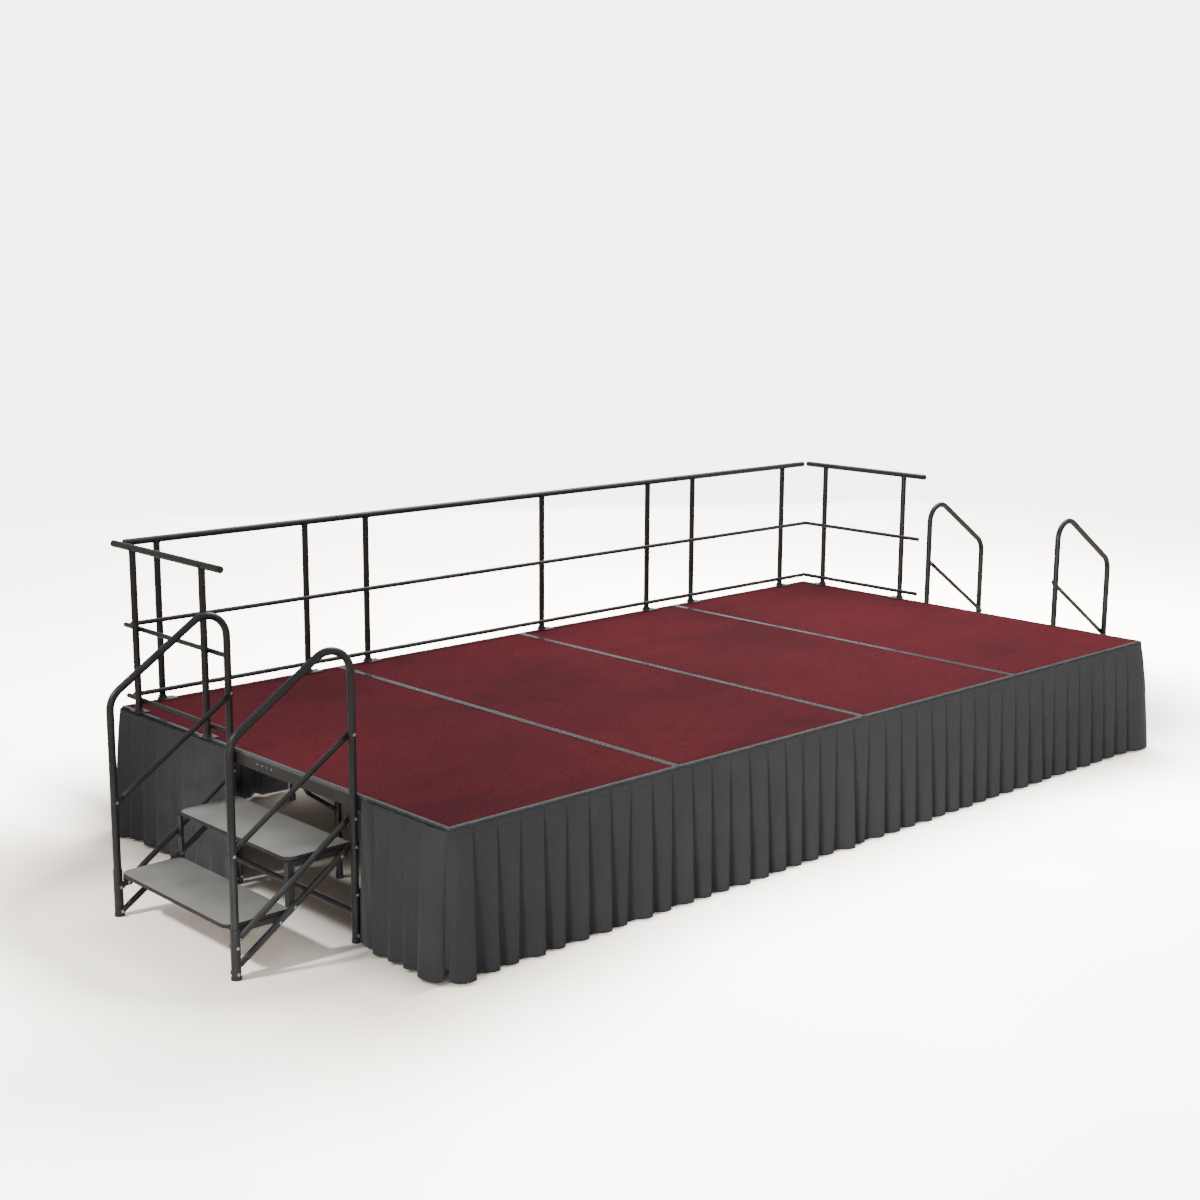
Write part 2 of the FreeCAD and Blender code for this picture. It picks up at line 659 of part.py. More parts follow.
def plate_across(name, side, start, thickness, corner_x, corner_z, width, height):
    """An upright plate parallel to a stair side, from one distance inboard of the posts."""
    post_y, inboard = side
    depth = getattr(d, thickness)
    first = post_y + inboard * start
    return box(name, (width, thickness, height),
               (corner_x, min(first, first + inboard * depth), corner_z))


def flat_end_tube(name, start, end, side, inset, radius, wall):
    """A round tube with both ends flattened to bolt against the posts."""
    post_y, inboard = side
    length = math.dist(start, end)
    climb = math.degrees(math.atan2(end[1] - start[1], end[0] - start[0]))
    round_from, round_to = d.flat_length, length - d.flat_length
    outside = rod(name + "_round", radius, (round_from, 0, 0), (round_to, 0, 0))
    bore = rod(name + "_bore", f"{radius} - {wall}", (round_from + d.flat_lap, 0, 0),
               (round_to - d.flat_lap, 0, 0))
    pieces = [cut(name + "_hollow", outside, bore)]
    for eye, flat_from in ((0, 0), (length, round_to - d.flat_lap)):
        pieces.append(box(name + "_flat", ("flat_length + flat_lap", "flat_thickness",
                                           "flat_width"),
                          (flat_from, -d.flat_thickness / 2, -d.flat_width / 2)))
        pieces.append(rod(name + "_eye", "flat_width / 2", (eye, -d.flat_thickness / 2, 0),
                          (eye, d.flat_thickness / 2, 0)))
    return compound(name + "_placed", [fuse(name, pieces)],
                    (start[0], post_y + inboard * inset, start[1]),
                    FreeCAD.Rotation(FreeCAD.Vector(0, -1, 0), climb))


def on_stringer(x, front_height, back_height):
    """The height of a stringer's centre line at x."""
    share = (x - FRONT_POST) / (BACK_POST - FRONT_POST)
    return front_height + share * (back_height - front_height)


def upper_at(x):
    return on_stringer(x, d.upper_stringer_front, d.upper_stringer_back)


def lower_at(x):
    return on_stringer(x, d.lower_stringer_front, d.lower_stringer_back)


def stair_bolts(side):
    """Shanks and finished bolts of one stair side."""
    through_posts = (-d.socket_radius, stringer_inset + d.flat_thickness / 2)
    through_slats = (-d.rail_radius, d.rail_radius + d.flat_thickness)
    through_plates = (stringer_inset - d.stringer_radius, plate_inset + d.side_plate)
    through_straps = (-d.rail_radius - d.side_plate, d.stringer_radius - stub_shift)
    joints = [
        (FRONT_POST, d.upper_stringer_front, through_posts),
        (FRONT_POST, d.lower_stringer_front, through_posts),
        (BACK_POST, d.upper_stringer_back, through_posts),
        (BACK_POST, d.lower_stringer_back, through_posts),
        (FRONT_POST, d.stair_slat_front, through_slats),
        (BACK_POST, d.stair_slat_back, through_slats),
        (LOWER_FRONT_BOLT, upper_at(LOWER_FRONT_BOLT), through_plates),
        (LOWER_BACK_BOLT, lower_at(LOWER_BACK_BOLT), through_plates),
        (UPPER_BACK_BOLT, lower_at(UPPER_BACK_BOLT), through_plates),
        (STRUT_LINE, lower_at(STRUT_LINE), through_plates),
    ]
    for height in STRAP_HEIGHTS:
        joints.append((stub_post, height, through_straps))
        joints.append((BACK_POST, height, (-d.rail_radius - d.side_plate, d.rail_radius)))
    shanks, bolts = [], []
    for x, z, (start, end) in joints:
        shank = across("stair_shank", "bolt_radius", x, z, side, start, end)
        head = across("stair_head", "bolt_head_radius", x, z, side,
                      start - d.bolt_head_height, start)
        nut = across("stair_nut", "bolt_head_radius", x, z, side, end,
                     end + d.bolt_head_height)
        shanks.append(shank)
        bolts.append(fuse("stair_bolt", [shank, head, nut]))
    return shanks, bolts


def side_bracket(name, side, points, flange_from, flange_to, flange_top):
    """A tread's side plate under a narrow flange that the tread rests on."""
    post_y, inboard = side
    middle = post_y + inboard * (plate_inset + d.side_plate / 2)
    plate = prism(name + "_plate", "XZ_Plane", points, "side_plate", (0, middle, 0))
    start = post_y + inboard * (plate_inset + d.side_plate)
    flange = box(name + "_flange", (f"{flange_to - flange_from}", "side_flange",
                                    "side_plate"),
                 (flange_from, min(start, start + inboard * d.side_flange),
                  flange_top - d.side_plate))
    return fuse(name, [plate, flange])


def lug(x, z):
    """The lower outline of a bracket where it comes down round a bolt."""
    return [(x - 14, z - 13), (x + 14, z - 13)]


def tread_brackets(side):
    """Side plates of both treads and the strut under the upper tread's front corner."""
    post_y, inboard = side
    low = d.lower_tread_height - d.tread_thickness
    high = d.upper_tread_height - d.tread_thickness
    low_edge = low - d.side_plate_depth
    high_edge = high - d.side_plate_depth
    lower_points = [
        (-3000, low), (-3000, low_edge),
        *lug(LOWER_FRONT_BOLT, upper_at(LOWER_FRONT_BOLT)),
        (LOWER_FRONT_BOLT + 30, low_edge), (LOWER_BACK_BOLT - 24, low_edge),
        *lug(LOWER_BACK_BOLT, lower_at(LOWER_BACK_BOLT)),
        (-2762, low - 8), (-2762, low)]
    upper_points = [
        (-2712, high), (-2712, high_edge), (UPPER_BACK_BOLT - 24, high_edge),
        *lug(UPPER_BACK_BOLT, lower_at(UPPER_BACK_BOLT)),
        (-2484, high_edge), (-2450, high_edge + 8), (-2450, high)]
    strut_left = STRUT_LINE - d.strut_width / 2
    web = plate_across("strut_web", side, plate_inset, "side_plate", strut_left,
                       d.strut_foot, "strut_width", f"{high} - strut_foot")
    lip_foot = d.lower_tread_height + d.side_plate
    lip_start = post_y + inboard * (plate_inset + d.side_plate)
    lip = box("strut_lip", ("side_plate", "side_flange", f"{high - lip_foot} - side_plate"),
              (strut_left, min(lip_start, lip_start + inboard * d.side_flange), lip_foot))
    return [
        side_bracket("lower_bracket", side, lower_points, -3000, -2762, low),
        side_bracket("upper_bracket", side, upper_points, -2738, -2450, high),
        fuse("strut", [web, lip]),
    ]


def tread(name, front, back, height):
    """A laminate board with rounded front corners."""
    near = -d.stair_near_side + d.tread_inset
    board = box(name + "_board", (f"{front} - {back}",
                                  "stair_near_side + stair_far_side - 2 * tread_inset",
                                  "tread_thickness"),
                (-getattr(d, front), near, height - d.tread_thickness))
    doc.recompute([board])
    rounded = doc.addObject("Part::Fillet", name)
    rounded.Base = board
    rounded.Edges = [
        (number, d.tread_corner, d.tread_corner)
        for number, edge in enumerate(board.Shape.Edges, 1)
        if abs(edge.tangentAt(0).z) > 0.9 and abs(edge.CenterOfMass.x + getattr(d, front)) < 1]
    return rounded


def stair_legs(side):
    """Front socket, plastic feet, collars, and the short leg strapped to the back post."""
    post_y, inboard = side
    front_socket = cut("socket", rod("socket_outside", "socket_radius",
                                     (FRONT_POST, post_y, d.cap_floor),
                                     (FRONT_POST, post_y, d.socket_height)),
                       rod("socket_inside", "socket_bore",
                           (FRONT_POST, post_y, 2 * d.cap_floor),
                           (FRONT_POST, post_y, d.socket_height)))
    post_cutter = rod("post_cutter", "rail_radius", (BACK_POST, post_y, 0),
                      (BACK_POST, post_y, d.upper_stringer_back + d.collar_height))
    stub_y = post_y - inboard * stub_shift
    stub_ends = ((stub_post, stub_y, 0), (stub_post, stub_y, d.stub_height))
    back_cap = cup("back_cap", "rail_radius + 2", 16.0, d.back_post_foot, "rail_radius",
                   (BACK_POST, post_y, 0))
    pieces = [
        front_socket,
        cup("front_cap", "socket_radius + 2", 11.0, d.cap_floor, "socket_radius",
            (FRONT_POST, post_y, 0)),
        cut("back_cap_fitted", back_cap, rod("stub_cutter", "stringer_radius", *stub_ends)),
        tube("stub", "stringer_radius", "stringer_wall", *stub_ends),
    ]
    for height in (d.upper_stringer_back, d.lower_stringer_back):
        middle = (BACK_POST, post_y, height)
        collar = rod("collar_outside", "socket_radius",
                     (*middle[:2], height - d.collar_height / 2),
                     (*middle[:2], height + d.collar_height / 2))
        pieces.append(cut("collar", collar, post_cutter))
    for height in STRAP_HEIGHTS:
        pieces.append(plate_across("strap", side, -d.rail_radius - d.side_plate,
                                   "side_plate", BACK_POST - 12, height - 10, "52", "20"))
    return pieces, post_cutter


def handrail(side):
    """One bent handrail tube and the slat bolted below it."""
    bent = bent_tube("handrail", [
        (FRONT_POST, d.handrail_foot), (FRONT_POST, d.handrail_knee),
        (BACK_POST, d.handrail_peak), (BACK_POST, d.back_post_foot)],
        "rail_radius", "rail_wall", d.handrail_bend, side[0])
    slat = flat_end_tube(
        "stair_slat", (FRONT_POST, d.stair_slat_front), (BACK_POST, d.stair_slat_back),
        side, d.rail_radius + d.flat_thickness / 2, "slat_radius", "slat_wall")
    return [bent, slat]


def stair_stringers(side):
    heights = (("upper_stringer", d.upper_stringer_front, d.upper_stringer_back),
               ("lower_stringer", d.lower_stringer_front, d.lower_stringer_back))
    return [flat_end_tube(name, (FRONT_POST, low), (BACK_POST, high), side, stringer_inset,
                          "stringer_radius", "stringer_wall")
            for name, low, high in heights]


def make_stairs():
    """The left stair, piece by piece, and its mirror image at the other end."""
    legs, handrails, stringers, brackets, bolts, shanks, posts = [], [], [], [], [], [], []
    for side in STAIR_SIDES:
        its_shanks, its_bolts = stair_bolts(side)
        shanks += its_shanks
        bolts += its_bolts
        its_legs, post_cutter = stair_legs(side)
        legs += its_legs
        posts.append(post_cutter)
        handrails += handrail(side)
        stringers += stair_stringers(side)
        brackets += tread_brackets(side)
    legs.append(tube("stretcher", "stringer_radius", "stringer_wall",
                     (BACK_POST, -d.stair_near_side, d.stretcher_height),
                     (BACK_POST, d.stair_far_side, d.stretcher_height), posts))
    holes = compound("stair_holes", shanks)
    groups = {"legs": legs, "handrails": handrails, "stringers": stringers,
              "tread_brackets": brackets}
    for name, pieces in groups.items():
        drilled = cut(f"{name}_drilled", compound(f"{name}_set", pieces), holes)
        mirrored(f"right_stair_{name}", node(f"left_stair_{name}", [drilled]))
    treads = [tread("lower_tread", "lower_tread_front", "lower_tread_back",
                    d.lower_tread_height),
              tread("upper_tread", "upper_tread_front", "upper_tread_back",
                    d.upper_tread_height)]
    mirrored("right_stair_treads", node("left_stair_treads", treads))
    mirrored("right_stair_bolts", node("left_stair_bolts", bolts))


# ---------------------------------------------------------------- the whole stage

def main():
    make_deck()
    rivet_shanks = rivets_of_frame("rivet_shank", "rivet_radius", 0,
                                   -d.apron_wall - d.bracket_wall)
    rivet_heads = rivets_of_frame("rivet_head", "rivet_head_radius", 0,
                                  d.rivet_head_height)
    shank_sets = at_every_frame("rivet_shanks", rivet_shanks)
    head_sets = at_every_frame("rivet_heads", rivet_heads)
    rivet_holes = compound("rivet_holes", shank_sets)
    edge_bolt_holes, edge_bolts = make_sockets(compound("rivet_reliefs", head_sets))
    make_apron(rivet_holes, edge_bolt_holes)
    make_unit_clips()
    make_hinge_brackets(rivet_holes)
    make_tracks()
    rivets = fuse("rivets", shank_sets + head_sets)
    node("deck_fasteners", [rivets] + edge_bolts)
    make_legs()
    for label, section in SECTIONS.items():
        make_guard_rail(label, *section)
    make_skirts()
    make_stairs()
    doc.recompute()
    write_nodes()


def write_nodes():
    for item in doc.Objects:
        if "Invalid" in item.State or "Error" in item.State:
            raise RuntimeError(f"{item.Name} did not build: {item.State}")
    os.makedirs("parts", exist_ok=True)
    for item in nodes:
        shape = item.Shape
        if shape.isNull() or not shape.isValid() or not shape.Solids:
            raise RuntimeError(f"{item.Label} has no valid shape")
        shape.exportStep(f"parts/{item.Label}.step")
        print(f"{item.Label}: {len(shape.Solids)} solids, {shape.Volume / 1000:.0f} cm3")
    print(len(nodes), "nodes")


main()
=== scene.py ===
import bisect
import json
import math
import random

import bmesh
import bpy
from mathutils import Matrix, Vector, noise

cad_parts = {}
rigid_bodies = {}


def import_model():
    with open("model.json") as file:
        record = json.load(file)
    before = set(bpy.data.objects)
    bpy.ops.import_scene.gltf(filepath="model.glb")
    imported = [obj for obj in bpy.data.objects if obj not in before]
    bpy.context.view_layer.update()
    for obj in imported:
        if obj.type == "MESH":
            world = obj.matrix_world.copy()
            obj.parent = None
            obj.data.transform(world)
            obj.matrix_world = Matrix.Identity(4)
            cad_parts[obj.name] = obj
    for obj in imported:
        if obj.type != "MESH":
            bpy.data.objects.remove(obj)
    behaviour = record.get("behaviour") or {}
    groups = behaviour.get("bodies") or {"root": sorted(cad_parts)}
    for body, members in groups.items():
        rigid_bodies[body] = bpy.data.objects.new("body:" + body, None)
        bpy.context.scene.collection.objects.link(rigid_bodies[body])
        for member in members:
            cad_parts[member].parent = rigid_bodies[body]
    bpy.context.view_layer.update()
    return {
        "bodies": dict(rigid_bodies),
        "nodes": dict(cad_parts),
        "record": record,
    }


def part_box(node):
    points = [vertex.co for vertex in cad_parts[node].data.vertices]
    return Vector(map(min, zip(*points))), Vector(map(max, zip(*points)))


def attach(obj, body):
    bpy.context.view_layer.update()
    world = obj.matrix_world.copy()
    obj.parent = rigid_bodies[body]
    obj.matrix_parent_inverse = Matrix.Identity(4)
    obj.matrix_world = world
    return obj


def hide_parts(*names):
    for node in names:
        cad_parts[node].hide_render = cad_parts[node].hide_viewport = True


# The look of a portable stage: carpeted deck units, a pleated charcoal skirt, black
# guard rails and two small stairs. Everything is in metres in the CAD model's frame.

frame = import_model()

# Camera: the lens and stance that match the deck's corners and seams.
CAMERA_PLACE = (-6.358, -6.192, 2.705)
CAMERA_AZIMUTH = 43.28
CAMERA_DOWN = 11.05
CAMERA_ROLL = 0.365
CAMERA_LENS = 53.58
CAMERA_SENSOR = 36.0

# Studio. To the camera, the world and the floor are brighter than the light they give: the
# floor by FLOOR_SEEN_NEAR beside a stair, rising to FLOOR_SEEN_FAR over the distances
# FLOOR_BRIGHTENS. Under the deck the floor has painted shade, and it turns into the backdrop
# over FLOOR_FADES.
WORLD_LIGHT = 0.50
WORLD_SEEN = 5.5
FLOOR_SEEN_NEAR = 1.2
FLOOR_SEEN_FAR = 11.0
# How much darker the camera sees the floor right under the deck: painted shade.
FLOOR_PAINTED_SHADE = 0.38
FLOOR_BRIGHTENS = (0.7, 2.0)
FLOOR_FADES = (3.5, 10.5)
FLOOR_REACH = 60.0

# Distances past the deck's edge over which the floor's glow comes back at the sides and at
# the back, so that under and behind the deck it reads as shade, and over which the painted
# shade under the deck ends at the back.
SHADE_COVER_SIDES = (-0.10, 0.25)
SHADE_COVER_BACK = (0.2, 1.4)
PAINTED_SHADE_BACK = (0.05, 0.3)

# Name, place, target, size, watts.
SOFTBOXES = [
    ("overhead", (3.4, 1.5, 6.0), (1.8, 0.0, 0.6), (6.0, 4.0), 500.0),
    ("back_wall", (5.5, 8.5, 1.3), (0.0, 0.0, 0.9), (10.0, 2.2), 120.0),
]
# Name, place, target, cone in degrees, watts, radius.
SPOTS = [
    ("stair_key", (-8.0, 0.9, 6.4), (-3.10, -0.05, 0.0), 16.0, 2200.0, 0.40),
    ("opening_fill", (-6.2, -4.6, 1.5), (-1.9, 0.5, 0.3), 17.0, 240.0, 0.60),
    ("under_deck", (-5.3, -5.0, 0.40), (-1.9, 1.0, 0.16), 7.0, 900.0, 0.20),
    ("front_rake", (-7.0, -4.2, 1.7), (1.7, -1.25, 0.3), 28.0, 2300.0, 1.10),
]
SPOT_BLEND = 0.6

# Carpet: the radius of its edge, the cells of its mesh, and how uneven its top is.
CARPET_EDGE = 0.004
CARPET_CELL = 0.045
CARPET_UNEVENNESS = 0.0004

# Skirt: distances from fold to fold, and a pleat's depth at the header and at the hem.
FRONT_PITCH = 0.118
SIDE_PITCH = 0.105
HEADER_HEIGHT = 0.028
HEADER_DEPTH = 0.0045
HEM_DEPTH = 0.050
CLOTH_THICKNESS = 0.0009
CLOTH_ROWS = 24
ROW_POWER = 1.15
STAND_OFF = 0.0016
STAIR_CLEARANCE = 0.024

# How pleats differ, as shares of the depth and of the pitch; how they open on the way down;
# and the puckers under the header, which rise and end at shares of the skirt's height.
DEPTH_SPREAD = 0.38
PLEAT_LEAN = 0.27
FLARED_LEAN = 1.2
WILD_SWAY, SLOW_SWAY, KINK_SWAY = 0.22, 0.16, 0.03
OPENING_POWER = 0.7
PUCKER, PUCKER_RISES, PUCKER_ENDS = 0.0013, 0.05, 0.35
LOOSENESS = 0.004
HEM_UNEVENNESS = 0.004
HEM_CURVE = 0.010

# Noises along a skirt: the scale per pitch, and the shift of the seed.
WILD, SLOW, KINK = (0.83, 0.0), (0.37, 7.3), (1.1, 3.1)

# Corners and ends of a skirt. The shares are of a pleat's depth.
BEND_RADIUS = 0.022
CORNER_PLEAT = 1.5
CORNER_FLARE = 0.042
CORNER_REACH = 0.20
TUCK_WIDTH = 0.065
TUCK_RISE = 0.050
TUCKED_FLARE_LOSS = 0.75
END_HOLD = 0.06
END_LAP = 0.012
END_SHARE = 0.14
TUCK_SHARE = -0.20
LAP_SHARE = 0.50

# The cloth's weave and its rows of stitches, in metres of cloth below the top.
WARP, WEFT = 0.0011, 0.0013
STITCH_ROWS = (0.006, HEADER_HEIGHT, 0.578)
STITCH_LENGTH = 0.0042
STITCH_HALF_WIDTH = 0.0006

# Treads.
TREAD_CORNER = 0.045
TREAD_EDGING = 0.003

# Fasteners: the height of a bolt's head and nut, and of a rivet's head.
BOLT_HEAD = 0.004
RIVET_HEAD = 0.0014

# Welds: a bead's radius, the length and depth of its ripple, its unevenness, and how far it
# turns round the post at a slat, in degrees. At a slat it stands off the post by SEAM_GAP,
# at a share of the slat's radius, and bows away at its ends.
BEAD_RADIUS = 0.0024
BEAD_RIPPLE = 0.0035
BEAD_SWELL = 0.16
BEAD_UNEVENNESS = (0.92, 1.08)
SLAT_BEAD_TURN = 38
SEAM_GAP = 0.0006
SEAM_SHARE = 0.42
SEAM_BOW = 0.004

# Solids told apart by their spans: tubes, posts and legs are longer than these, and a leg is
# narrower than LEG_WIDTH.
LEAST_TUBE = 0.1
LEAST_POST = 0.3
LEG_WIDTH = 0.05

# Points closer than this are one point.
MERGE_DISTANCE = 1e-6


# ---------------------------------------------------------------- mesh helpers

def object_from(name, work, smooth=True):
    """An object from a bmesh, which is freed."""
    mesh = bpy.data.meshes.new(name)
    bmesh.ops.recalc_face_normals(work, faces=work.faces)
    work.to_mesh(mesh)
    work.free()
    mesh.polygons.foreach_set("use_smooth", [smooth] * len(mesh.polygons))
    piece = bpy.data.objects.new(name, mesh)
    bpy.context.scene.collection.objects.link(piece)
    return piece


def finish_piece(piece, body, material):
    """A piece's material and the body that it rides on."""
    piece.data.materials.clear()
    piece.data.materials.append(material)
    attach(piece, body)


def add_grid(work, rows, closed_across=False):
    """Faces between rows of points; returns the rows of vertices."""
    lines = [[work.verts.new(point) for point in row] for row in rows]
    for low, high in zip(lines, lines[1:]):
        pairs = list(zip(range(len(low)), range(1, len(low))))
        if closed_across:
            pairs.append((len(low) - 1, 0))
        for here, there in pairs:
            work.faces.new((low[here], low[there], high[there], high[here]))
    return lines


def frame_along(axis):
    """Two directions square to an axis and to each other."""
    side = axis.orthogonal().normalized()
    return side, axis.cross(side).normalized()


def add_turned(work, start, axis, profile, sides=20):
    """A turned solid: profile is (distance along the axis, radius) from end to end."""
    start, axis = Vector(start), Vector(axis).normalized()
    side, other = frame_along(axis)
    rows = []
    for along, radius in profile:
        ring = []
        for step in range(sides):
            angle = 2 * math.pi * step / sides
            ring.append(start + axis * along
                        + (side * math.cos(angle) + other * math.sin(angle)) * radius)
        rows.append(ring)
    lines = add_grid(work, rows, closed_across=True)
    work.faces.new(lines[0])
    work.faces.new(lines[-1][::-1])


def islands(node):
    """The boxes of a CAD node's separate solids, as (lowest, highest) corners."""
    work = bmesh.new()
    work.from_mesh(frame["nodes"][node].data)
    bmesh.ops.remove_doubles(work, verts=work.verts, dist=MERGE_DISTANCE)
    work.verts.ensure_lookup_table()
    seen = set()
    boxes = []
    for seed in work.verts:
        if seed.index in seen:
            continue
        seen.add(seed.index)
        stack, found = [seed], []
        while stack:
            vertex = stack.pop()
            found.append(vertex.co.copy())
            for edge in vertex.link_edges:
                other = edge.other_vert(vertex)
                if other.index not in seen:
                    seen.add(other.index)
                    stack.append(other)
        low = Vector(min(point[axis] for point in found) for axis in range(3))
        high = Vector(max(point[axis] for point in found) for axis in range(3))
        boxes.append((low, high))
    work.free()
    return boxes


# ---------------------------------------------------------------- materials

class Shade:
    """A node material, with short ways to add the nodes that this scene uses."""

    def __init__(self, name, **values):
        self.material = bpy.data.materials.new(name)
        self.material.use_nodes = True
        self.nodes = self.material.node_tree.nodes
        self.links = self.material.node_tree.links
        self.shader = self.nodes["Principled BSDF"]
        for key, value in values.items():
            self.shader.inputs[key.replace("_", " ")].default_value = value
        self.coords = self.nodes.new("ShaderNodeTexCoord")

    def add(self, kind, **inputs):
        node = self.nodes.new("ShaderNode" + kind)
        for key, value in inputs.items():
            self.plug(node, key.replace("_", " "), value)
        return node

    def plug(self, node, key, value):
        socket = node.inputs[int(key)] if key.isdigit() else node.inputs[key]
        if isinstance(value, bpy.types.NodeSocket):
            self.links.new(value, socket)
        else:
            socket.default_value = value

    def stretched(self, scale, source="Object"):
        """Texture coordinates stretched by a scale along each axis."""
        mapping = self.add("Mapping", Vector=self.coords.outputs[source])
        mapping.inputs["Scale"].default_value = scale
        return mapping.outputs["Vector"]

    def noise(self, scale, detail=2.0, vector=None, roughness=0.5):
        """Noise with a mean of about a half, at a scale per metre."""
        node = self.add("TexNoise", Vector=vector or self.coords.outputs["Object"],
                        Scale=scale, Detail=detail, Roughness=roughness)
        return node.outputs["Fac"]

    def ramp(self, fac, stops):
        """Colours or greys by place: stops are (place, colour)."""
        node = self.add("ValToRGB", Fac=fac)
        marks = node.color_ramp.elements
        while len(marks) < len(stops):
            marks.new(0.5)
        for mark, (place, colour) in zip(marks, stops):
            mark.position = place
            mark.color = colour if len(colour) == 4 else (*colour, 1.0)
        return node.outputs["Color"]

    def grey(self, fac, low, high, start=0.3, end=0.7):
        """A number between low and high, by another number."""
        node = self.add("MapRange", Value=fac)
        for key, value in (("From Min", start), ("From Max", end),
                           ("To Min", low), ("To Max", high)):
            node.inputs[key].default_value = value
        return node.outputs["Result"]

    def math(self, operation, first, second=0.0):
        """A number from one or two others."""
        node = self.nodes.new("ShaderNodeMath")
        node.operation = operation
        self.plug(node, "0", first)
        self.plug(node, "1", second)
        return node.outputs[0]

    def mix(self, fac, first, second):
        """A colour between two others."""
        node = self.nodes.new("ShaderNodeMix")
        node.data_type = "RGBA"
        for socket, value in ((node.inputs[0], fac), (node.inputs[6], first),
                              (node.inputs[7], second)):
            if isinstance(value, bpy.types.NodeSocket):
                self.links.new(value, socket)
            else:
                socket.default_value = value
        return node.outputs[2]

    def vector_math(self, operation, first):
        node = self.nodes.new("ShaderNodeVectorMath")
        node.operation = operation
        self.plug(node, "0", first)
        return node

    def scaled(self, colour, factor):
        """A colour times a number."""
        node = self.vector_math("SCALE", colour)
        self.plug(node, "Scale", factor)
        return node.outputs["Vector"]

    def bump(self, height, distance, strength=1.0, normal=None):
        node = self.add("Bump", Height=height, Distance=distance, Strength=strength)
        if normal is not None:
            self.links.new(normal, node.inputs["Normal"])
        return node.outputs["Normal"]

    def finish(self, **sockets):
        for key, value in sockets.items():
            self.plug(self.shader, key.replace("_", " "), value)
        return self.material


def rgb(red, green, blue):
    """An opaque colour."""
    return (red, green, blue, 1.0)


def make_carpet_material():
    """Cut pile: dark smudges, brushed patches, tufts, pale flecks and single yarn ends."""
    shade = Shade("carpet_pile", Roughness=0.95, Sheen_Weight=0.06, Sheen_Roughness=0.5,
                  Sheen_Tint=rgb(0.8, 0.15, 0.18), Specular_IOR_Level=0.1)
    smudges = shade.noise(1.25, 5.0, shade.stretched((1.0, 1.3, 1.0)), 0.6)
    brushed = shade.noise(14.0, 4.0, shade.stretched((1.0, 1.8, 1.0)), 0.6)
    clumps = shade.noise(85.0, 2.0)
    tufts = shade.noise(260.0, 2.0)
    yarn = shade.noise(900.0, 1.0)
    flecks = shade.noise(130.0, 1.0)
    base = shade.ramp(smudges, [(0.36, (0.052, 0.0095, 0.0140)),
                                (0.46, (0.108, 0.0138, 0.021)),
                                (0.62, (0.154, 0.0168, 0.0248))])
    worn = shade.mix(shade.grey(brushed, 0.0, 0.55, 0.42, 0.72), base,
                     rgb(0.082, 0.0112, 0.017))
    mottled = shade.mix(shade.grey(clumps, 0.65, 0.0, 0.36, 0.56), worn,
                        rgb(0.062, 0.0090, 0.0135))
    dark = shade.mix(shade.grey(tufts, 0.55, 0.0, 0.35, 0.6), mottled,
                     rgb(0.045, 0.0065, 0.0100))
    bright = shade.mix(shade.grey(flecks, 0.0, 0.6, 0.52, 0.72), dark,
                       rgb(0.235, 0.0215, 0.033))
    colour = shade.mix(shade.grey(yarn, 0.0, 0.40, 0.55, 0.8), bright,
                       rgb(0.28, 0.037, 0.050))
    coarse = shade.bump(smudges, 0.004, 0.4)
    middle = shade.bump(tufts, 0.0022, 0.9, coarse)
    return shade.finish(Base_Color=colour, Normal=shade.bump(yarn, 0.0008, 0.8, middle))


def make_skirt_material():
    """Charcoal woven polyester with stitch rows; its UVs are metres of cloth."""
    shade = Shade("skirt_cloth", Roughness=0.82, Sheen_Weight=0.15, Sheen_Roughness=0.4,
                  Specular_IOR_Level=0.3)
    uv = shade.coords.outputs["UV"]
    parts = shade.add("SeparateXYZ", Vector=uv)
    across, down = parts.outputs["X"], parts.outputs["Y"]
    warp = shade.math("SINE", shade.math("MULTIPLY", across, 2 * math.pi / WARP))
    weft = shade.math("SINE", shade.math("MULTIPLY", down, 2 * math.pi / WEFT))
    weave = shade.math("MULTIPLY", warp, weft)
    slubs = shade.noise(1.0, 2.0, shade.stretched((60.0, 900.0, 1.0), "UV"))
    faded = shade.noise(5.0, 3.0)
    base = shade.ramp(faded, [(0.3, (0.046, 0.0485, 0.054)), (0.7, (0.055, 0.0575, 0.064))])
    threads = shade.mix(shade.grey(slubs, 0.0, 0.5, 0.45, 0.75), base,
                        rgb(0.082, 0.085, 0.092))
    stitches = None
    for row in STITCH_ROWS:
        near = shade.math("LESS_THAN", shade.math("ABSOLUTE", shade.math(
            "SUBTRACT", down, row)), STITCH_HALF_WIDTH)
        dash = shade.math("GREATER_THAN", shade.math("SINE", shade.math(
            "MULTIPLY", across, 2 * math.pi / STITCH_LENGTH)), -0.35)
        marks = shade.math("MULTIPLY", near, dash)
        stitches = marks if stitches is None else shade.math("MAXIMUM", stitches, marks)
    colour = shade.mix(stitches, threads, rgb(0.02, 0.021, 0.023))
    woven = shade.bump(weave, 0.00018, 0.6)
    sewn = shade.bump(shade.math("MULTIPLY", stitches, -1.0), 0.0008, 1.0, woven)
    creased = shade.bump(shade.noise(28.0, 3.0), 0.0025, 0.25, sewn)
    return shade.finish(Base_Color=colour, Normal=creased)


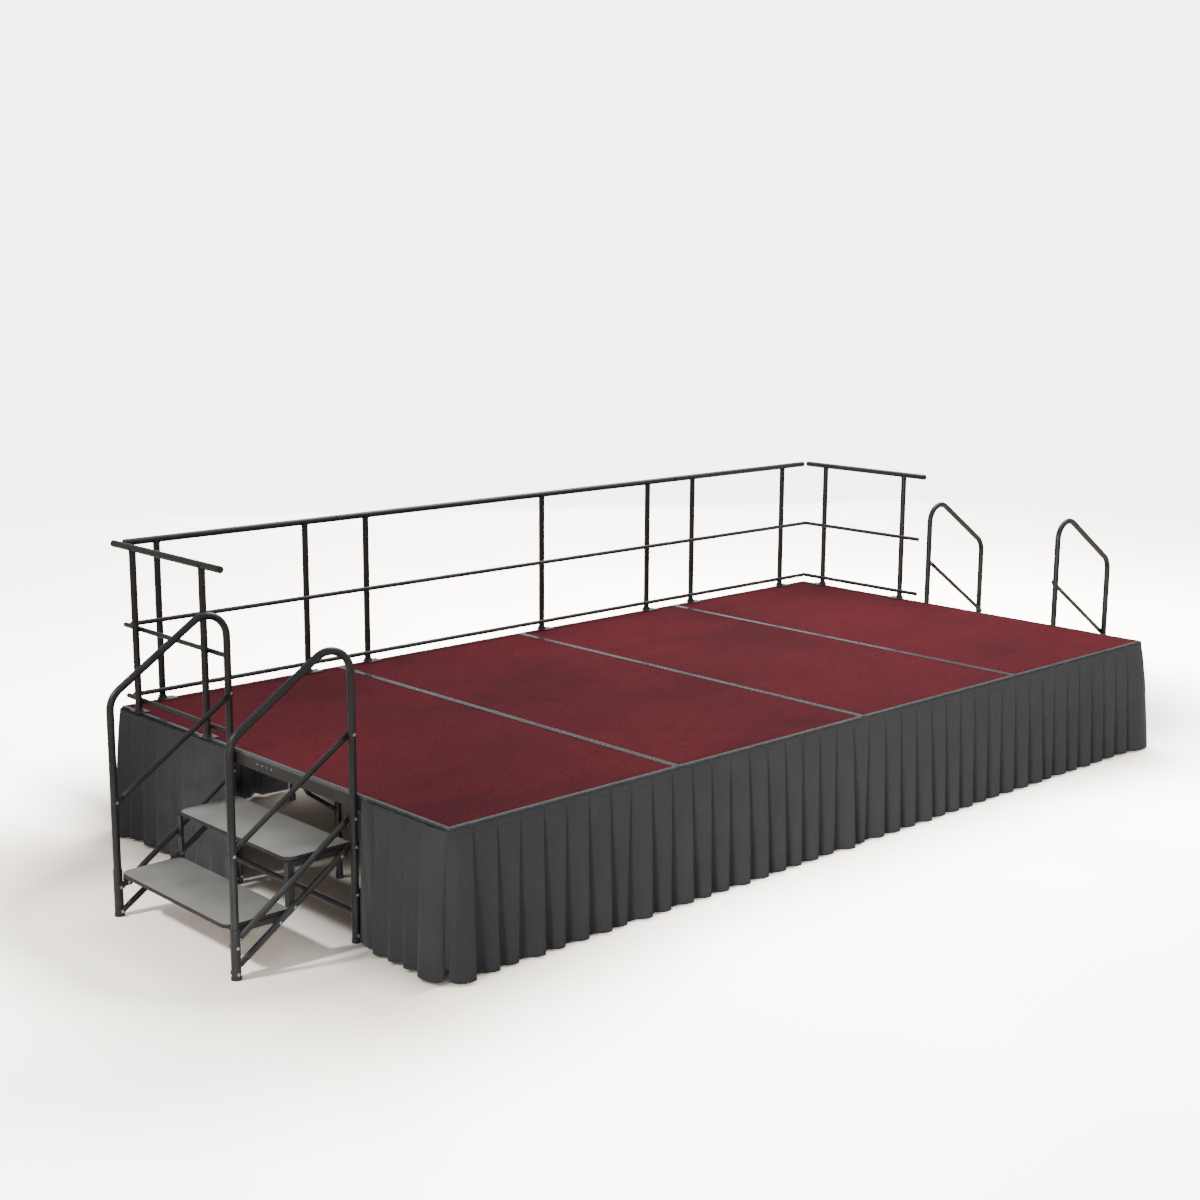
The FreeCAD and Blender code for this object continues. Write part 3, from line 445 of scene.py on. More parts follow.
def make_steel_material(name, base, dust, roughness=0.36):
    """Powder-coated tube: orange peel, faint dust and rubbed patches."""
    shade = Shade(name, Specular_IOR_Level=0.55)
    cloud = shade.noise(11.0, 4.0)
    peel = shade.noise(1100.0, 1.0)
    streak = shade.noise(45.0, 3.0, shade.stretched((1.0, 1.0, 0.12)))
    colour = shade.ramp(cloud, [(0.35, base), (0.75, dust)])
    rubbed = shade.mix(shade.grey(streak, 0.0, 0.35, 0.62, 0.82), colour,
                       rgb(*(3.2 * part for part in base)))
    rough = shade.grey(cloud, roughness - 0.06, roughness + 0.10)
    return shade.finish(Base_Color=rubbed, Roughness=rough,
                        Normal=shade.bump(peel, 0.00022, 0.35))


def make_metal_material(name, low, high, metallic, roughness, grain_scale, gloss=0.5,
                        upright=1.0):
    """Bare or anodised metal with a drawn grain and dull spots.

    Its faces that don't face up are paler than the others by the factor 'upright', which
    paints light on them.
    """
    shade = Shade(name, Metallic=metallic, Specular_IOR_Level=gloss)
    grain = shade.noise(90.0, 3.0, shade.stretched(grain_scale))
    spots = shade.noise(25.0, 4.0)
    colour = shade.ramp(spots, [(0.35, low), (0.7, high)])
    # Painted light: faces that don't face up are made paler by the factor 'upright'.
    facing = shade.add("SeparateXYZ", Vector=shade.coords.outputs["Normal"])
    painted_side_light = shade.scaled(colour, shade.grey(facing.outputs["Z"], upright, 1.0))
    rough = shade.grey(grain, roughness - 0.08, roughness + 0.10)
    return shade.finish(Base_Color=painted_side_light, Roughness=rough,
                        Normal=shade.bump(grain, 0.0002, 0.3))


def make_tread_material():
    """Grey laminate with fine specks and the scuffs of shoes."""
    shade = Shade("tread_laminate", Specular_IOR_Level=0.45)
    cloud = shade.noise(7.0, 4.0)
    specks = shade.noise(420.0, 2.0)
    laminate = shade.ramp(cloud, [(0.3, (0.192, 0.186, 0.173)), (0.7, (0.236, 0.229, 0.213))])
    speckled = shade.mix(shade.grey(specks, 0.55, 0.0, 0.30, 0.48), laminate,
                         rgb(0.115, 0.110, 0.102))
    scuffed = shade.mix(shade.grey(shade.noise(3.2, 5.0), 0.0, 0.35, 0.5, 0.75), speckled,
                        rgb(0.33, 0.325, 0.31))
    rough = shade.grey(cloud, 0.42, 0.60)
    return shade.finish(Base_Color=scuffed, Roughness=rough,
                        Normal=shade.bump(specks, 0.0002, 0.3))


def make_edging_material():
    """Black rubber T-moulding, rubbed grey in patches."""
    shade = Shade("tread_edging", Specular_IOR_Level=0.4)
    cloud = shade.noise(30.0, 4.0)
    colour = shade.ramp(cloud, [(0.35, (0.012, 0.0115, 0.011)), (0.75, (0.035, 0.033, 0.030))])
    return shade.finish(Base_Color=colour, Roughness=shade.grey(cloud, 0.40, 0.62),
                        Normal=shade.bump(shade.noise(700.0, 1.0), 0.0002, 0.3))


def make_board_material():
    """Plywood: long grain on the face, thin plies on the edge."""
    shade = Shade("deck_board", Roughness=0.7, Specular_IOR_Level=0.2)
    grain = shade.noise(14.0, 5.0, shade.stretched((9.0, 0.7, 9.0)), 0.65)
    plies = shade.noise(1.0, 1.0, shade.stretched((1.0, 1.0, 420.0)))
    base = shade.ramp(grain, [(0.3, (0.26, 0.165, 0.085)), (0.7, (0.46, 0.33, 0.19))])
    colour = shade.mix(shade.grey(plies, 0.0, 0.4), base, rgb(0.17, 0.105, 0.055))
    return shade.finish(Base_Color=colour, Normal=shade.bump(grain, 0.0006, 0.5))


def make_floor_material():
    """A pale floor, overexposed except beside the stairs and under the deck.

    Its light is even. Only the camera sees it brighter, with painted shade under and behind
    the deck, or faded into the backdrop.
    """
    shade = Shade("studio_floor")
    stone = shade.ramp(shade.noise(0.9, 4.0),
                       [(0.3, (0.80, 0.72, 0.62)), (0.7, (0.86, 0.80, 0.72))])
    low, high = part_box("left_stair_treads")
    stair = (Vector(low) + Vector(high)) / 2
    deck = Vector(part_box("deck_panels")[1])
    places = shade.coords.outputs["Object"]
    across = shade.add("SeparateXYZ", Vector=places).outputs["Y"]
    folded = shade.vector_math("ABSOLUTE", places).outputs["Vector"]
    aside = shade.add("SeparateXYZ", Vector=folded).outputs["X"]
    offset = shade.vector_math("DISTANCE", folded)
    offset.inputs[1].default_value = (-stair.x, -stair.y, 0.0)
    away = offset.outputs["Value"]
    # Painted shade: the glow is left out under the deck and fades back in behind it, and right
    # under the deck the floor is darker still.
    sides = [deck.x + past for past in SHADE_COVER_SIDES]
    back = [deck.y + past for past in SHADE_COVER_BACK]
    painted_shade_span = [deck.y + past for past in PAINTED_SHADE_BACK]
    shade_cover = shade.math("MULTIPLY", shade.math(
        "MULTIPLY", shade.grey(across, 1.0, 0.0, *back),
        shade.math("GREATER_THAN", across, -deck.y)), shade.grey(aside, 1.0, 0.0, *sides))
    painted_shade = shade.math("MULTIPLY", shade_cover, shade.grey(across, 1.0, 0.0, *painted_shade_span))
    open_gain = shade.math("MULTIPLY", shade.math("SUBTRACT", 1.0, shade_cover), shade.grey(
        away, FLOOR_SEEN_NEAR, FLOOR_SEEN_FAR, *FLOOR_BRIGHTENS))
    # The painted shade under the deck is taken off the camera's brightness.
    extra = shade.math("SUBTRACT", open_gain, shade.math("MULTIPLY", painted_shade, FLOOR_PAINTED_SHADE))
    seen = shade.nodes.new("ShaderNodeLightPath").outputs["Is Camera Ray"]
    gain = shade.math("ADD", 1.0, shade.math("MULTIPLY", seen, extra))
    matte = shade.add("BsdfDiffuse", Color=shade.scaled(stone, gain))
    backdrop = shade.add("Emission", Color=rgb(1.0, 1.0, 1.0), Strength=WORLD_SEEN)
    surface = shade.add("MixShader", Fac=shade.math(
        "MULTIPLY", seen, shade.grey(away, 0.0, 1.0, *FLOOR_FADES)))
    shade.links.new(matte.outputs["BSDF"], surface.inputs[1])
    shade.links.new(backdrop.outputs["Emission"], surface.inputs[2])
    shade.links.new(surface.outputs["Shader"],
                    shade.nodes["Material Output"].inputs["Surface"])
    return shade.material


MATERIALS = {
    "carpet_red": make_carpet_material(),
    "skirt_fabric": make_skirt_material(),
    "black_steel": make_steel_material(
        "black_powder_coat", (0.0170, 0.0176, 0.0182), (0.027, 0.0275, 0.028)),
    # upright=1.9 paints light on the trim's sides.
    "edge_trim": make_metal_material(
        "trim_aluminium", (0.056, 0.061, 0.068), (0.074, 0.080, 0.088), 0.3, 0.24,
        (1.0, 1.0, 30.0), gloss=0.25, upright=1.9),
    "zinc": make_metal_material(
        "zinc_plate", (0.42, 0.42, 0.41), (0.62, 0.62, 0.60), 0.85, 0.30, (1.0, 1.0, 8.0)),
    "tread_laminate": make_tread_material(),
    "deck_board": make_board_material(),
}
EDGING = make_edging_material()

# CAD nodes whose finish differs from that of their slot.
SPECIAL = {
    "apron_frames": make_steel_material(
        "apron_coat", (0.030, 0.0275, 0.025), (0.044, 0.040, 0.036), 0.45),
    "rail_brackets": make_metal_material(
        "dull_zinc", (0.13, 0.13, 0.135), (0.24, 0.24, 0.245), 0.8, 0.42, (1.0, 1.0, 8.0)),
}


def dress_cad_nodes():
    """Every CAD node that stays gets the material of its slot, or its own."""
    slots = {entry["node"]: entry["material_slot"]
             for entry in frame["record"]["subparts"]}
    for name, node in frame["nodes"].items():
        node.data.materials.clear()
        node.data.materials.append(SPECIAL.get(name, MATERIALS[slots[name]]))


# ---------------------------------------------------------------- carpet

def carpet_stations(start, end):
    """Places across a carpet: close together on its rounded edges, then a cell apart."""
    close = [share * CARPET_EDGE for share in (0, 0.25, 0.6)]
    flat = end - start - 2 * CARPET_EDGE
    count = round(flat / CARPET_CELL)
    inner = [start + CARPET_EDGE + flat * step / count for step in range(count + 1)]
    return [start + part for part in close] + inner + [end - part for part in reversed(close)]


def carpet_drop(inset):
    """How far the rounded edge is below the top, by the distance in from the edge."""
    share = max(0.0, 1 - inset / CARPET_EDGE)
    return CARPET_EDGE * (1 - math.sqrt(1 - share * share))


def make_carpet(unit):
    """One unit's carpet: a soft-edged sheet glued to the deck board."""
    node = f"carpet_{unit}"
    low, high = (Vector(corner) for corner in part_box(node))
    work = bmesh.new()
    top = []
    for y in carpet_stations(low.y, high.y):
        row = []
        for x in carpet_stations(low.x, high.x):
            inset = min(x - low.x, high.x - x, y - low.y, high.y - y)
            lift = CARPET_UNEVENNESS * noise.noise(Vector((x * 3, y * 3, unit)))
            row.append((x, y, high.z - CARPET_UNEVENNESS - carpet_drop(inset)
                        + lift * (inset > CARPET_EDGE)))
        top.append(row)
    lines = add_grid(work, top)
    rim = (lines[0] + [line[-1] for line in lines[1:]] + lines[-1][-2::-1]
           + [line[0] for line in lines[-2:0:-1]])
    base = [work.verts.new((vertex.co.x, vertex.co.y, low.z)) for vertex in rim]
    for index, vertex in enumerate(rim):
        after = (index + 1) % len(rim)
        work.faces.new((vertex, rim[after], base[after], base[index]))
    work.faces.new(base)
    piece = object_from(f"carpet_sheet_{unit}", work)
    finish_piece(piece, "stage", MATERIALS["carpet_red"])
    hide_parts(node)


# ---------------------------------------------------------------- pleated skirt

class Route:
    """The line that a skirt hangs on, outward on the right: runs with round corners.

    A skirt that turns in starts on the diagonal of the corner before its first run, and one
    that turns out ends just past the diagonal of the corner after its last run.
    """

    def __init__(self, corners, turn_in=False, turn_out=False):
        points = [Vector(corner) for corner in corners]
        self.line = [points[0]]
        bends = []
        if turn_in:
            ahead = (points[1] - points[0]).normalized()
            aside = Vector((-ahead.y, ahead.x))
            self.line = self.bend(points[0], aside, ahead, range(4, 9))
            bends.append(0)
        for before, corner, after in zip(points, points[1:], points[2:]):
            bends.append(len(self.line) + 4)
            self.line += self.bend(corner, (before - corner).normalized(),
                                   (after - corner).normalized(), range(9))
        if turn_out:
            behind = (points[-2] - points[-1]).normalized()
            aside = Vector((behind.y, -behind.x))
            self.line += self.bend(points[-1], behind, aside, range(6))
            bends.append(len(self.line) - 2)
        else:
            self.line.append(points[-1])
        self.marks = [0.0]
        for start, end in zip(self.line, self.line[1:]):
            self.marks.append(self.marks[-1] + (end - start).length)
        self.length = self.marks[-1]
        self.bends = [self.marks[index] for index in bends]

    @staticmethod
    def bend(corner, inward, onward, eighths):
        """Points of a quarter circle, at the given eighths of it."""
        centre = corner + (inward + onward) * BEND_RADIUS
        turns = [math.pi / 2 * eighth / 8 for eighth in eighths]
        return [centre - (onward * math.cos(turn) + inward * math.sin(turn)) * BEND_RADIUS
                for turn in turns]

    def heading(self, index):
        index = min(max(index, 0), len(self.line) - 2)
        return (self.line[index + 1] - self.line[index]).normalized()

    def at(self, along):
        """The point and the outward direction at a distance along the line."""
        index = min(max(bisect.bisect(self.marks, along) - 1, 0), len(self.line) - 2)
        start, end = self.marks[index], self.marks[index + 1]
        share = (along - start) / (end - start)
        ahead = self.heading(index)
        point = self.line[index] + ahead * (along - start)
        towards = self.heading(index + 1) if share > 0.5 else self.heading(index - 1)
        mixed = ahead.lerp(towards, abs(min(max(share, 0), 1) - 0.5)).normalized()
        return point, Vector((mixed.y, -mixed.x))


# One pleat, from fold to fold, as (share of the pitch, share of the depth): pressed flat
# under the header, and open at the hem.
PRESSED = [(0.02, 0.30), (0.22, 0.58), (0.46, 0.74), (0.76, 0.88), (0.96, 0.98),
           (1.00, 0.92), (0.97, 0.62), (0.82, 0.38), (0.86, 0.16)]
OPEN = [(0.08, 0.20), (0.21, 0.05), (0.41, 0.12), (0.63, 0.38), (0.83, 0.78),
        (0.96, 1.00), (1.04, 0.86), (1.08, 0.56), (1.09, 0.34)]


def cloth_section(openness, pitch, pleats):
    """Places of all columns at one height, before sway: (along, share of the depth)."""
    loose = END_LAP * openness
    start = 0.0
    places = [(-loose, PRESSED[0][1] * (1 - openness) + OPEN[0][1] * openness)]
    for width in pleats:
        for flat, wide in zip(PRESSED, OPEN):
            along = flat[0] * (1 - openness) + wide[0] * openness
            outward = flat[1] * (1 - openness) + wide[1] * openness
            places.append((start + along * width * pitch, outward))
        start += width * pitch
    places.append((start + loose, places[0][1]))
    return places


def ease(value):
    """A smooth step from 0 to 1 over the same range."""
    value = min(max(value, 0.0), 1.0)
    return value * value * (3 - 2 * value)


class Skirt:
    """The shape of a pleated skirt; its ends tuck in at the corners that they turn into.

    One that laps over hangs outside the next skirt at its last corner instead. Widths of
    pleats are in pitches.
    """

    def __init__(self, route, top, height, seed, target_pitch, mirrored, turn_in, turn_out,
                 lap_over):
        self.route, self.top, self.height, self.seed = route, top, height, seed
        widest = CORNER_PLEAT if turn_out else 1.0
        count = max(2, round(route.length / target_pitch - widest) + 1)
        self.pleats = [1.0] * (count - 1) + [widest]
        self.pitch = route.length / sum(self.pleats)
        self.mirrored = mirrored
        if mirrored:
            self.pleats.reverse()
        self.lean = PLEAT_LEAN if mirrored else -PLEAT_LEAN
        self.tucks = (turn_in, turn_out and not lap_over)
        self.end_share = LAP_SHARE if lap_over else TUCK_SHARE if turn_out else END_SHARE

    def row(self, down):
        """The points of the cloth at a distance below its top."""
        below = max(0.0, down - HEADER_HEIGHT) / (self.height - HEADER_HEIGHT)
        openness = below ** OPENING_POWER
        places = cloth_section(openness, self.pitch, self.pleats)
        if self.mirrored:
            places = [(self.route.length - along, outward)
                      for along, outward in reversed(places)]
        return [self.point(along, outward, down, below, openness)
                for along, outward in places]

    def drift(self, along, kind, height=0.0):
        """One of the noises along the skirt."""
        scale, shift = kind
        return noise.noise(Vector((along / self.pitch * scale, self.seed + shift, height)))

    def point(self, along, outward, down, below, openness):
        """Where the cloth is, by its place in the pleats and its distance below the top."""
        after = self.route.length - along
        wild = self.drift(along, WILD)
        slow = self.drift(along, SLOW)
        kink = self.drift(along, KINK, below * 2.0)
        depth = HEADER_DEPTH + (HEM_DEPTH * (1 + DEPTH_SPREAD * wild) - HEADER_DEPTH) * openness
        near_start = 1 - ease(along / TUCK_WIDTH)
        near_end = 1 - ease(after / TUCK_WIDTH)
        outward += near_start * (END_SHARE - outward) + near_end * (self.end_share - outward)
        tuck = self.tucks[0] * near_start + self.tucks[1] * near_end
        flare = max([1 - ease(abs(along - bend) / CORNER_REACH) for bend in self.route.bends],
                    default=0.0) * (1 - TUCKED_FLARE_LOSS * tuck)
        sway = self.pitch * (self.lean * openness * (1 + FLARED_LEAN * flare)
                             + below * (WILD_SWAY * wild + SLOW_SWAY * slow + KINK_SWAY * kink))
        hold = ease(along / END_HOLD) * ease(after / END_HOLD)
        point, facing = self.route.at(along + sway * hold)
        puckered = PUCKER * ease(below / PUCKER_RISES) * (1 - ease(below / PUCKER_ENDS))
        pucker = puckered * noise.noise(Vector((along * 42.0, self.seed, down * 26.0)))
        hang = (STAND_OFF + outward * depth + pucker
                + openness * (LOOSENESS * (1 + slow) + CORNER_FLARE * flare))
        place = point + facing * hang
        uneven = noise.noise(Vector((along * 5.0, self.seed + 1.7, 0.0)))
        hem = (HEM_UNEVENNESS * (1 + uneven) + HEM_CURVE * (2 * outward - 1) ** 4
               + TUCK_RISE * tuck)
        return place.x, place.y, self.top - down * (1 - hem / self.height)


def make_skirt(node, corners, seed, target_pitch, mirrored=False, turn_in=False,
               turn_out=False, lap_over=False):
    """A pleated skirt along a route, as a thickened sheet with UVs in metres of cloth."""
    low, high = (Vector(corner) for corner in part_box(node))
    height = high.z - low.z
    skirt = Skirt(Route(corners, turn_in, turn_out), high.z, height, seed, target_pitch,
                  mirrored, turn_in, turn_out, lap_over)
    downs = [height * (step / CLOTH_ROWS) ** ROW_POWER for step in range(CLOTH_ROWS + 1)]
    rows = [skirt.row(down) for down in downs]
    lengths = [sum(math.dist(*pair) for pair in zip(row, row[1:])) for row in rows]
    flat_width = sum(lengths) / len(lengths)
    work = bmesh.new()
    cloth = work.loops.layers.uv.new("cloth")
    flat = {}
    for line, down in zip(add_grid(work, rows), downs):
        for column, vertex in enumerate(line):
            flat[vertex] = (column / (len(line) - 1) * flat_width, down)
    for face in work.faces:
        for loop in face.loops:
            loop[cloth].uv = flat[loop.vert]
    piece = object_from(f"{node}_cloth", work)
    soften = piece.modifiers.new("soft folds", "SUBSURF")
    soften.levels = soften.render_levels = 1
    thicken = piece.modifiers.new("cloth", "SOLIDIFY")
    thicken.thickness = CLOTH_THICKNESS
    thicken.offset = 0.0
    finish_piece(piece, "stage", MATERIALS["skirt_fabric"])
    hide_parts(node)


def make_skirts():
    """Five lengths of skirt, walked anticlockwise so that outward is on the right."""
    front_low, front_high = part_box("skirt_front")
    back_low, back_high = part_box("skirt_right_back")
    side_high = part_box("skirt_right_front")[1]
    depth = front_high[1] - front_low[1]
    side_x = side_high[0] - depth
    front_y = front_high[1]
    back_y = back_high[1] - depth
    stair_front, stair_back = side_high[1] - STAIR_CLEARANCE, back_low[1] + STAIR_CLEARANCE
    return_x = back_low[0]
    make_skirt("skirt_front", [(-side_x, front_y), (side_x, front_y)], 11.0, FRONT_PITCH,
               turn_in=True, turn_out=True, lap_over=True)
    make_skirt("skirt_right_front", [(side_x, front_y), (side_x, stair_front)], 23.0,
               SIDE_PITCH, turn_in=True)
    make_skirt("skirt_right_back", [(side_x, stair_back), (side_x, back_y),
                                    (return_x, back_y)], 37.0, FRONT_PITCH)
    make_skirt("skirt_left_back", [(-return_x, back_y), (-side_x, back_y),
                                   (-side_x, stair_back)], 41.0, FRONT_PITCH, mirrored=True)
    make_skirt("skirt_left_front", [(-side_x, stair_front), (-side_x, front_y)], 59.0,
               SIDE_PITCH, mirrored=True, turn_out=True)


# ---------------------------------------------------------------- stair treads

def make_treads(side):
    """Laminate boards with soft black edging, rounded at the front corners."""
    node = f"{side}_stair_treads"
    outward = -1 if side == "left" else 1
    work = bmesh.new()
    for low, high in islands(node):
        front = low.x if outward < 0 else high.x
        back = high.x if outward < 0 else low.x
        outline = [(back, low.y), (back, high.y)]
        for centre_y, start in ((high.y - TREAD_CORNER, 90), (low.y + TREAD_CORNER, 0)):
            for step in range(9):
                angle = math.radians(start - step * 90 / 8)
                outline.append((front + outward * TREAD_CORNER * (math.cos(angle) - 1),
                                centre_y + TREAD_CORNER * math.sin(angle)))
        lower = [work.verts.new((x, y, low.z)) for x, y in outline]
        upper = [work.verts.new((x, y, high.z)) for x, y in outline]
        work.faces.new(lower)
        work.faces.new(upper[::-1])
        for index in range(len(outline)):
            after = (index + 1) % len(outline)
            work.faces.new((lower[index], lower[after], upper[after], upper[index]))
    piece = object_from(f"{side}_tread_boards", work, smooth=False)
    soften = piece.modifiers.new("edging", "BEVEL")
    soften.width = TREAD_EDGING
    soften.segments = 3
    soften.limit_method = "ANGLE"
    soften.angle_limit = math.radians(60)
    soften.material = 1
    finish_piece(piece, f"{side}_stair", MATERIALS["tread_laminate"])
    piece.data.materials.append(EDGING)
    for face in piece.data.polygons:
        face.material_index = 0 if abs(face.normal.z) > 0.5 else 1
    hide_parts(node)


# ---------------------------------------------------------------- fasteners

def add_bolt(work, low, high, head_first):
    """A domed head, a plain shank and a hexagon nut, along a solid's longest side."""
    span = high - low
    axis = max(range(3), key=lambda index: span[index])
    start, end = (low + high) / 2, (low + high) / 2
    start[axis], end[axis] = low[axis], high[axis]
    if not head_first:
        start, end = end, start
    along = (end - start).normalized()
    radius = sorted(span)[0] / 2
    dome = [(0.0, 0.0008), (0.0004, 0.003), (0.0013, radius * 0.80),
            (0.0026, radius * 0.97), (BOLT_HEAD, radius)]
    add_turned(work, start, along, dome, 24)
    shank = (end - start).length - 2 * BOLT_HEAD
    add_turned(work, start + along * BOLT_HEAD, along,
               [(0.0, radius * 0.55), (shank, radius * 0.55)], 16)
    add_turned(work, end - along * BOLT_HEAD, along,
               [(0.0, radius * 0.94), (0.0004, radius), (BOLT_HEAD - 0.0006, radius),
                (BOLT_HEAD, radius * 0.9)], 6)


def make_stair_bolts(side):
    """A stair's bolts, with their heads outward on both sides of it."""
    node = f"{side}_stair_bolts"
    boxes = islands(node)
    middle = sum((low.y + high.y) / 2 for low, high in boxes) / len(boxes)
    work = bmesh.new()
    for low, high in boxes:
        add_bolt(work, low, high, (low.y + high.y) / 2 < middle)
    piece = object_from(f"{side}_stair_fasteners", work, smooth=False)
    finish_piece(piece, f"{side}_stair", MATERIALS["zinc"])
    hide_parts(node)


def add_fastener(work, low, high):
    """A domed rivet or bolt that faces out of the deck, on the axis that it runs along."""
    span, middle = high - low, (low + high) / 2
    axis = 0 if abs(span.z - span.y) < abs(span.z - span.x) else 1
    start, end = middle.copy(), middle.copy()
    start[axis], end[axis] = high[axis], low[axis]
    if middle[axis] < 0:
        start, end = end, start
    along = (end - start).normalized()
    length = (end - start).length
    radius = (high.z - low.z) / 2
    head = RIVET_HEAD if radius < 0.005 else BOLT_HEAD
    dome = [(0.0, radius * 0.2), (head * 0.2, radius * 0.6), (head * 0.6, radius * 0.9),
            (head, radius)]
    add_turned(work, start, along, dome, 16)
    add_turned(work, start + along * head, along,
               [(0.0, radius * 0.57), (length - head, radius * 0.57)], 12)


def make_deck_fasteners():
    """Rivets through the aprons and the bolts of the rail brackets."""
    work = bmesh.new()
    for low, high in islands("deck_fasteners"):
        add_fastener(work, low, high)
    piece = object_from("deck_rivets_and_bolts", work, smooth=False)
    finish_piece(piece, "stage", MATERIALS["zinc"])
    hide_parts("deck_fasteners")


# ---------------------------------------------------------------- weld beads

def add_bead(work, points, closed, seed):
    """A rippled weld bead along a line of points."""
    draws = random.Random(seed)
    rings = []
    count = len(points)
    travelled = 0.0
    for index, point in enumerate(points):
        before = points[index - 1] if (closed or index) else points[index]
        after = points[(index + 1) % count] if (closed or index < count - 1) else point
        along = (after - before).normalized()
        side, other = frame_along(along)
        travelled += (point - points[index - 1]).length if index else 0.0
        swell = 1 + BEAD_SWELL * math.sin(2 * math.pi * travelled / BEAD_RIPPLE)
        radius = BEAD_RADIUS * swell * draws.uniform(*BEAD_UNEVENNESS)
        rings.append([point + (side * math.cos(turn) + other * math.sin(turn)) * radius
                      for turn in (math.pi * step / 3 for step in range(6))])
    if closed:
        rings.append(rings[0])
    lines = add_grid(work, rings, closed_across=True)
    if closed:
        bmesh.ops.remove_doubles(work, verts=lines[0] + lines[-1], dist=MERGE_DISTANCE)
    else:
        work.faces.new(lines[0])
        work.faces.new(lines[-1][::-1])


def saddle(centre, radius, across, along, up):
    """The line where an upright tube meets a tube of its own radius that runs along."""
    steps = 40
    points = []
    for step in range(steps):
        angle = 2 * math.pi * step / steps
        out = radius * math.sin(angle)
        rise = math.sqrt(max(radius ** 2 - out ** 2, 0.0))
        points.append(centre + along * (radius * math.cos(angle)) + across * out - up * rise)
    return points


def slat_seam(centre, radius, slat_radius, outward, along, up):
    """The line on a post's side where a slat lies against it, bowed away from the slat."""
    points = []
    for step in range(9):
        turn = math.radians(SLAT_BEAD_TURN * (step / 4 - 1))
        points.append(centre + outward * (radius * math.cos(turn) + SEAM_GAP)
                      + along * radius * math.sin(turn)
                      + up * (slat_radius * SEAM_SHARE + SEAM_BOW * (1 - math.cos(turn))))
    return points


def make_rail_welds(body):
    """Beads where a guard rail's posts meet its top tube and its slats."""
    tubes = [(low, high) for low, high in islands(body) if max(high - low) > LEAST_TUBE]
    posts = [box for box in tubes if box[1].z - box[0].z > LEAST_POST]
    levels = [box for box in tubes if box[1].z - box[0].z < LEAST_TUBE]
    top = max(range(len(levels)), key=lambda level: levels[level][1].z)
    span = levels[top][1] - levels[top][0]
    axes = Vector((1, 0, 0)), Vector((0, 1, 0))
    axis = 0 if span.x > span.y else 1
    along, across, up = axes[axis], axes[1 - axis], Vector((0, 0, 1))
    work = bmesh.new()
    for number, (low, high) in enumerate(posts):
        post = (low + high) / 2
        radius = (high - low)[axis] / 2
        for level, (first, second) in enumerate(levels):
            tube = (first + second) / 2
            centre = Vector((post.x, post.y, tube.z))
            if level == top:
                add_bead(work, saddle(centre, radius, across, along, up), True, number)
                continue
            outward = across if (tube - post).dot(across) > 0 else -across
            for rising in (-up, up):
                seam = slat_seam(centre, radius, (second.z - first.z) / 2, outward, along,
                                 rising)
                add_bead(work, seam, False, 10 * number + level)
    piece = object_from(f"{body}_welds", work)
    finish_piece(piece, body, MATERIALS["black_steel"])


def make_leg_welds(body):
    """Beads where a leg frame's legs meet its hinge tube."""
    boxes = [box for box in islands(body) if max(box[1] - box[0]) > LEAST_POST]
    hinge = max(boxes, key=lambda box: box[1].x - box[0].x)
    legs = [box for box in boxes if box[1].x - box[0].x < LEG_WIDTH]
    radius = (hinge[1].z - hinge[0].z) / 2
    centre = (hinge[0] + hinge[1]) / 2
    work = bmesh.new()
    for number, (low, high) in enumerate(legs):
        place = Vector(((low.x + high.x) / 2, centre.y, centre.z))
        add_bead(work, saddle(place, radius, Vector((0, 1, 0)), Vector((1, 0, 0)),
                              Vector((0, 0, 1))), True, number)
    piece = object_from(f"{body}_welds", work)
    finish_piece(piece, body, MATERIALS["black_steel"])


# ---------------------------------------------------------------- studio

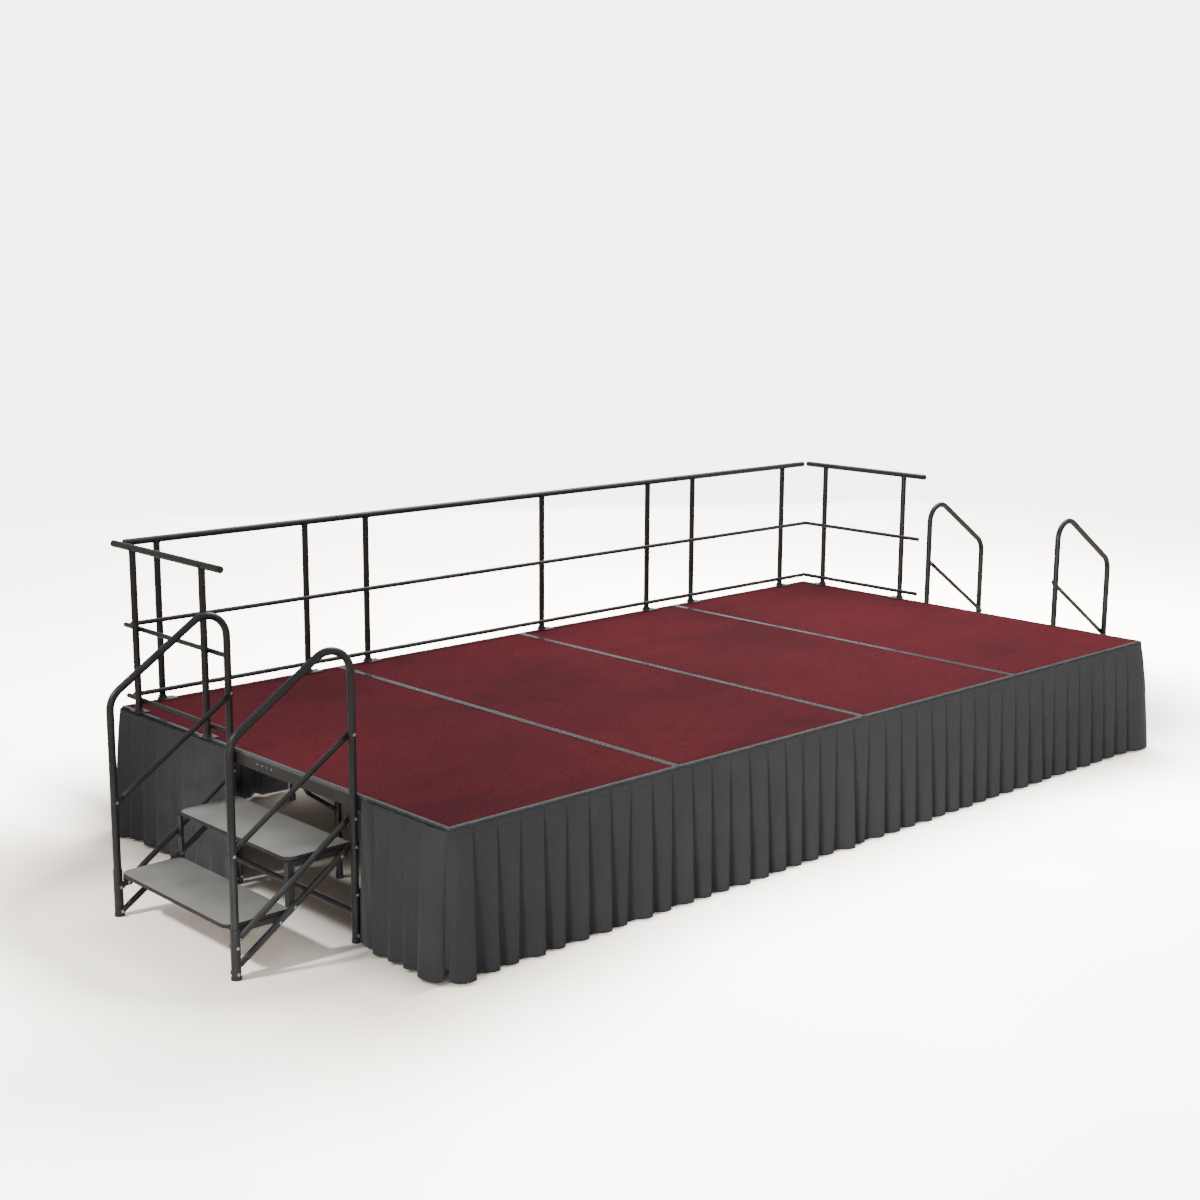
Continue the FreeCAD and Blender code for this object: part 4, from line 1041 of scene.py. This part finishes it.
def make_studio():
    """A floor, a white world and lamps, none of them part of the object."""
    work = bmesh.new()
    add_grid(work, [[(-FLOOR_REACH, y, 0.0), (FLOOR_REACH, y, 0.0)]
                    for y in (-FLOOR_REACH, FLOOR_REACH)])
    floor = object_from("floor", work, smooth=False)
    floor.data.materials.append(make_floor_material())
    world = bpy.data.worlds.new("studio")
    world.use_nodes = True
    nodes, links = world.node_tree.nodes, world.node_tree.links
    background = nodes["Background"]
    background.inputs["Color"].default_value = rgb(1.0, 1.0, 1.0)
    strength = nodes.new("ShaderNodeMapRange")
    strength.inputs["To Min"].default_value = WORLD_LIGHT
    strength.inputs["To Max"].default_value = WORLD_SEEN
    links.new(nodes.new("ShaderNodeLightPath").outputs["Is Camera Ray"],
              strength.inputs["Value"])
    links.new(strength.outputs["Result"], background.inputs["Strength"])
    bpy.context.scene.world = world
    for softbox in SOFTBOXES:
        add_softbox(*softbox)
    for spot in SPOTS:
        add_spot(*spot)


def add_softbox(name, place, target, size, power):
    light = bpy.data.lights.new(name, "AREA")
    light.shape = "RECTANGLE"
    light.size, light.size_y = size
    add_lamp(light, place, target, power)


def add_spot(name, place, target, cone, power, radius):
    light = bpy.data.lights.new(name, "SPOT")
    light.spot_size = math.radians(cone)
    light.spot_blend = SPOT_BLEND
    light.shadow_soft_size = radius
    add_lamp(light, place, target, power)


def add_lamp(light, place, target, power):
    """A lamp at a place, aimed at a target and hidden from the camera."""
    light.energy = power
    lamp = bpy.data.objects.new(light.name, light)
    lamp.location = place
    aim = Vector(target) - Vector(place)
    lamp.rotation_euler = aim.to_track_quat("-Z", "Y").to_euler()
    lamp.visible_camera = False
    bpy.context.scene.collection.objects.link(lamp)


def make_camera():
    """A nearly level look from the front left, a little from above."""
    azimuth, down, roll = (math.radians(angle) for angle in
                           (CAMERA_AZIMUTH, CAMERA_DOWN, CAMERA_ROLL))
    ahead = Vector((math.sin(azimuth) * math.cos(down),
                    math.cos(azimuth) * math.cos(down), -math.sin(down)))
    level = Vector((math.cos(azimuth), -math.sin(azimuth), 0.0))
    upright = level.cross(ahead)
    right = level * math.cos(roll) + upright * math.sin(roll)
    up = upright * math.cos(roll) - level * math.sin(roll)
    lens = bpy.data.cameras.new("camera")
    lens.lens = CAMERA_LENS
    lens.sensor_width = CAMERA_SENSOR
    camera = bpy.data.objects.new("camera", lens)
    turn = Matrix((right, up, -ahead)).transposed()
    camera.matrix_world = Matrix.Translation(CAMERA_PLACE) @ turn.to_4x4()
    bpy.context.scene.collection.objects.link(camera)
    bpy.context.scene.camera = camera


def main():
    make_camera()
    make_studio()
    dress_cad_nodes()
    for unit in range(1, 5):
        make_carpet(unit)
    make_skirts()
    for side in ("left", "right"):
        make_treads(side)
        make_stair_bolts(side)
    make_deck_fasteners()
    for body in frame["bodies"]:
        if body.startswith("guard_rail"):
            make_rail_welds(body)
        elif body.startswith("leg_frame"):
            make_leg_welds(body)


main()
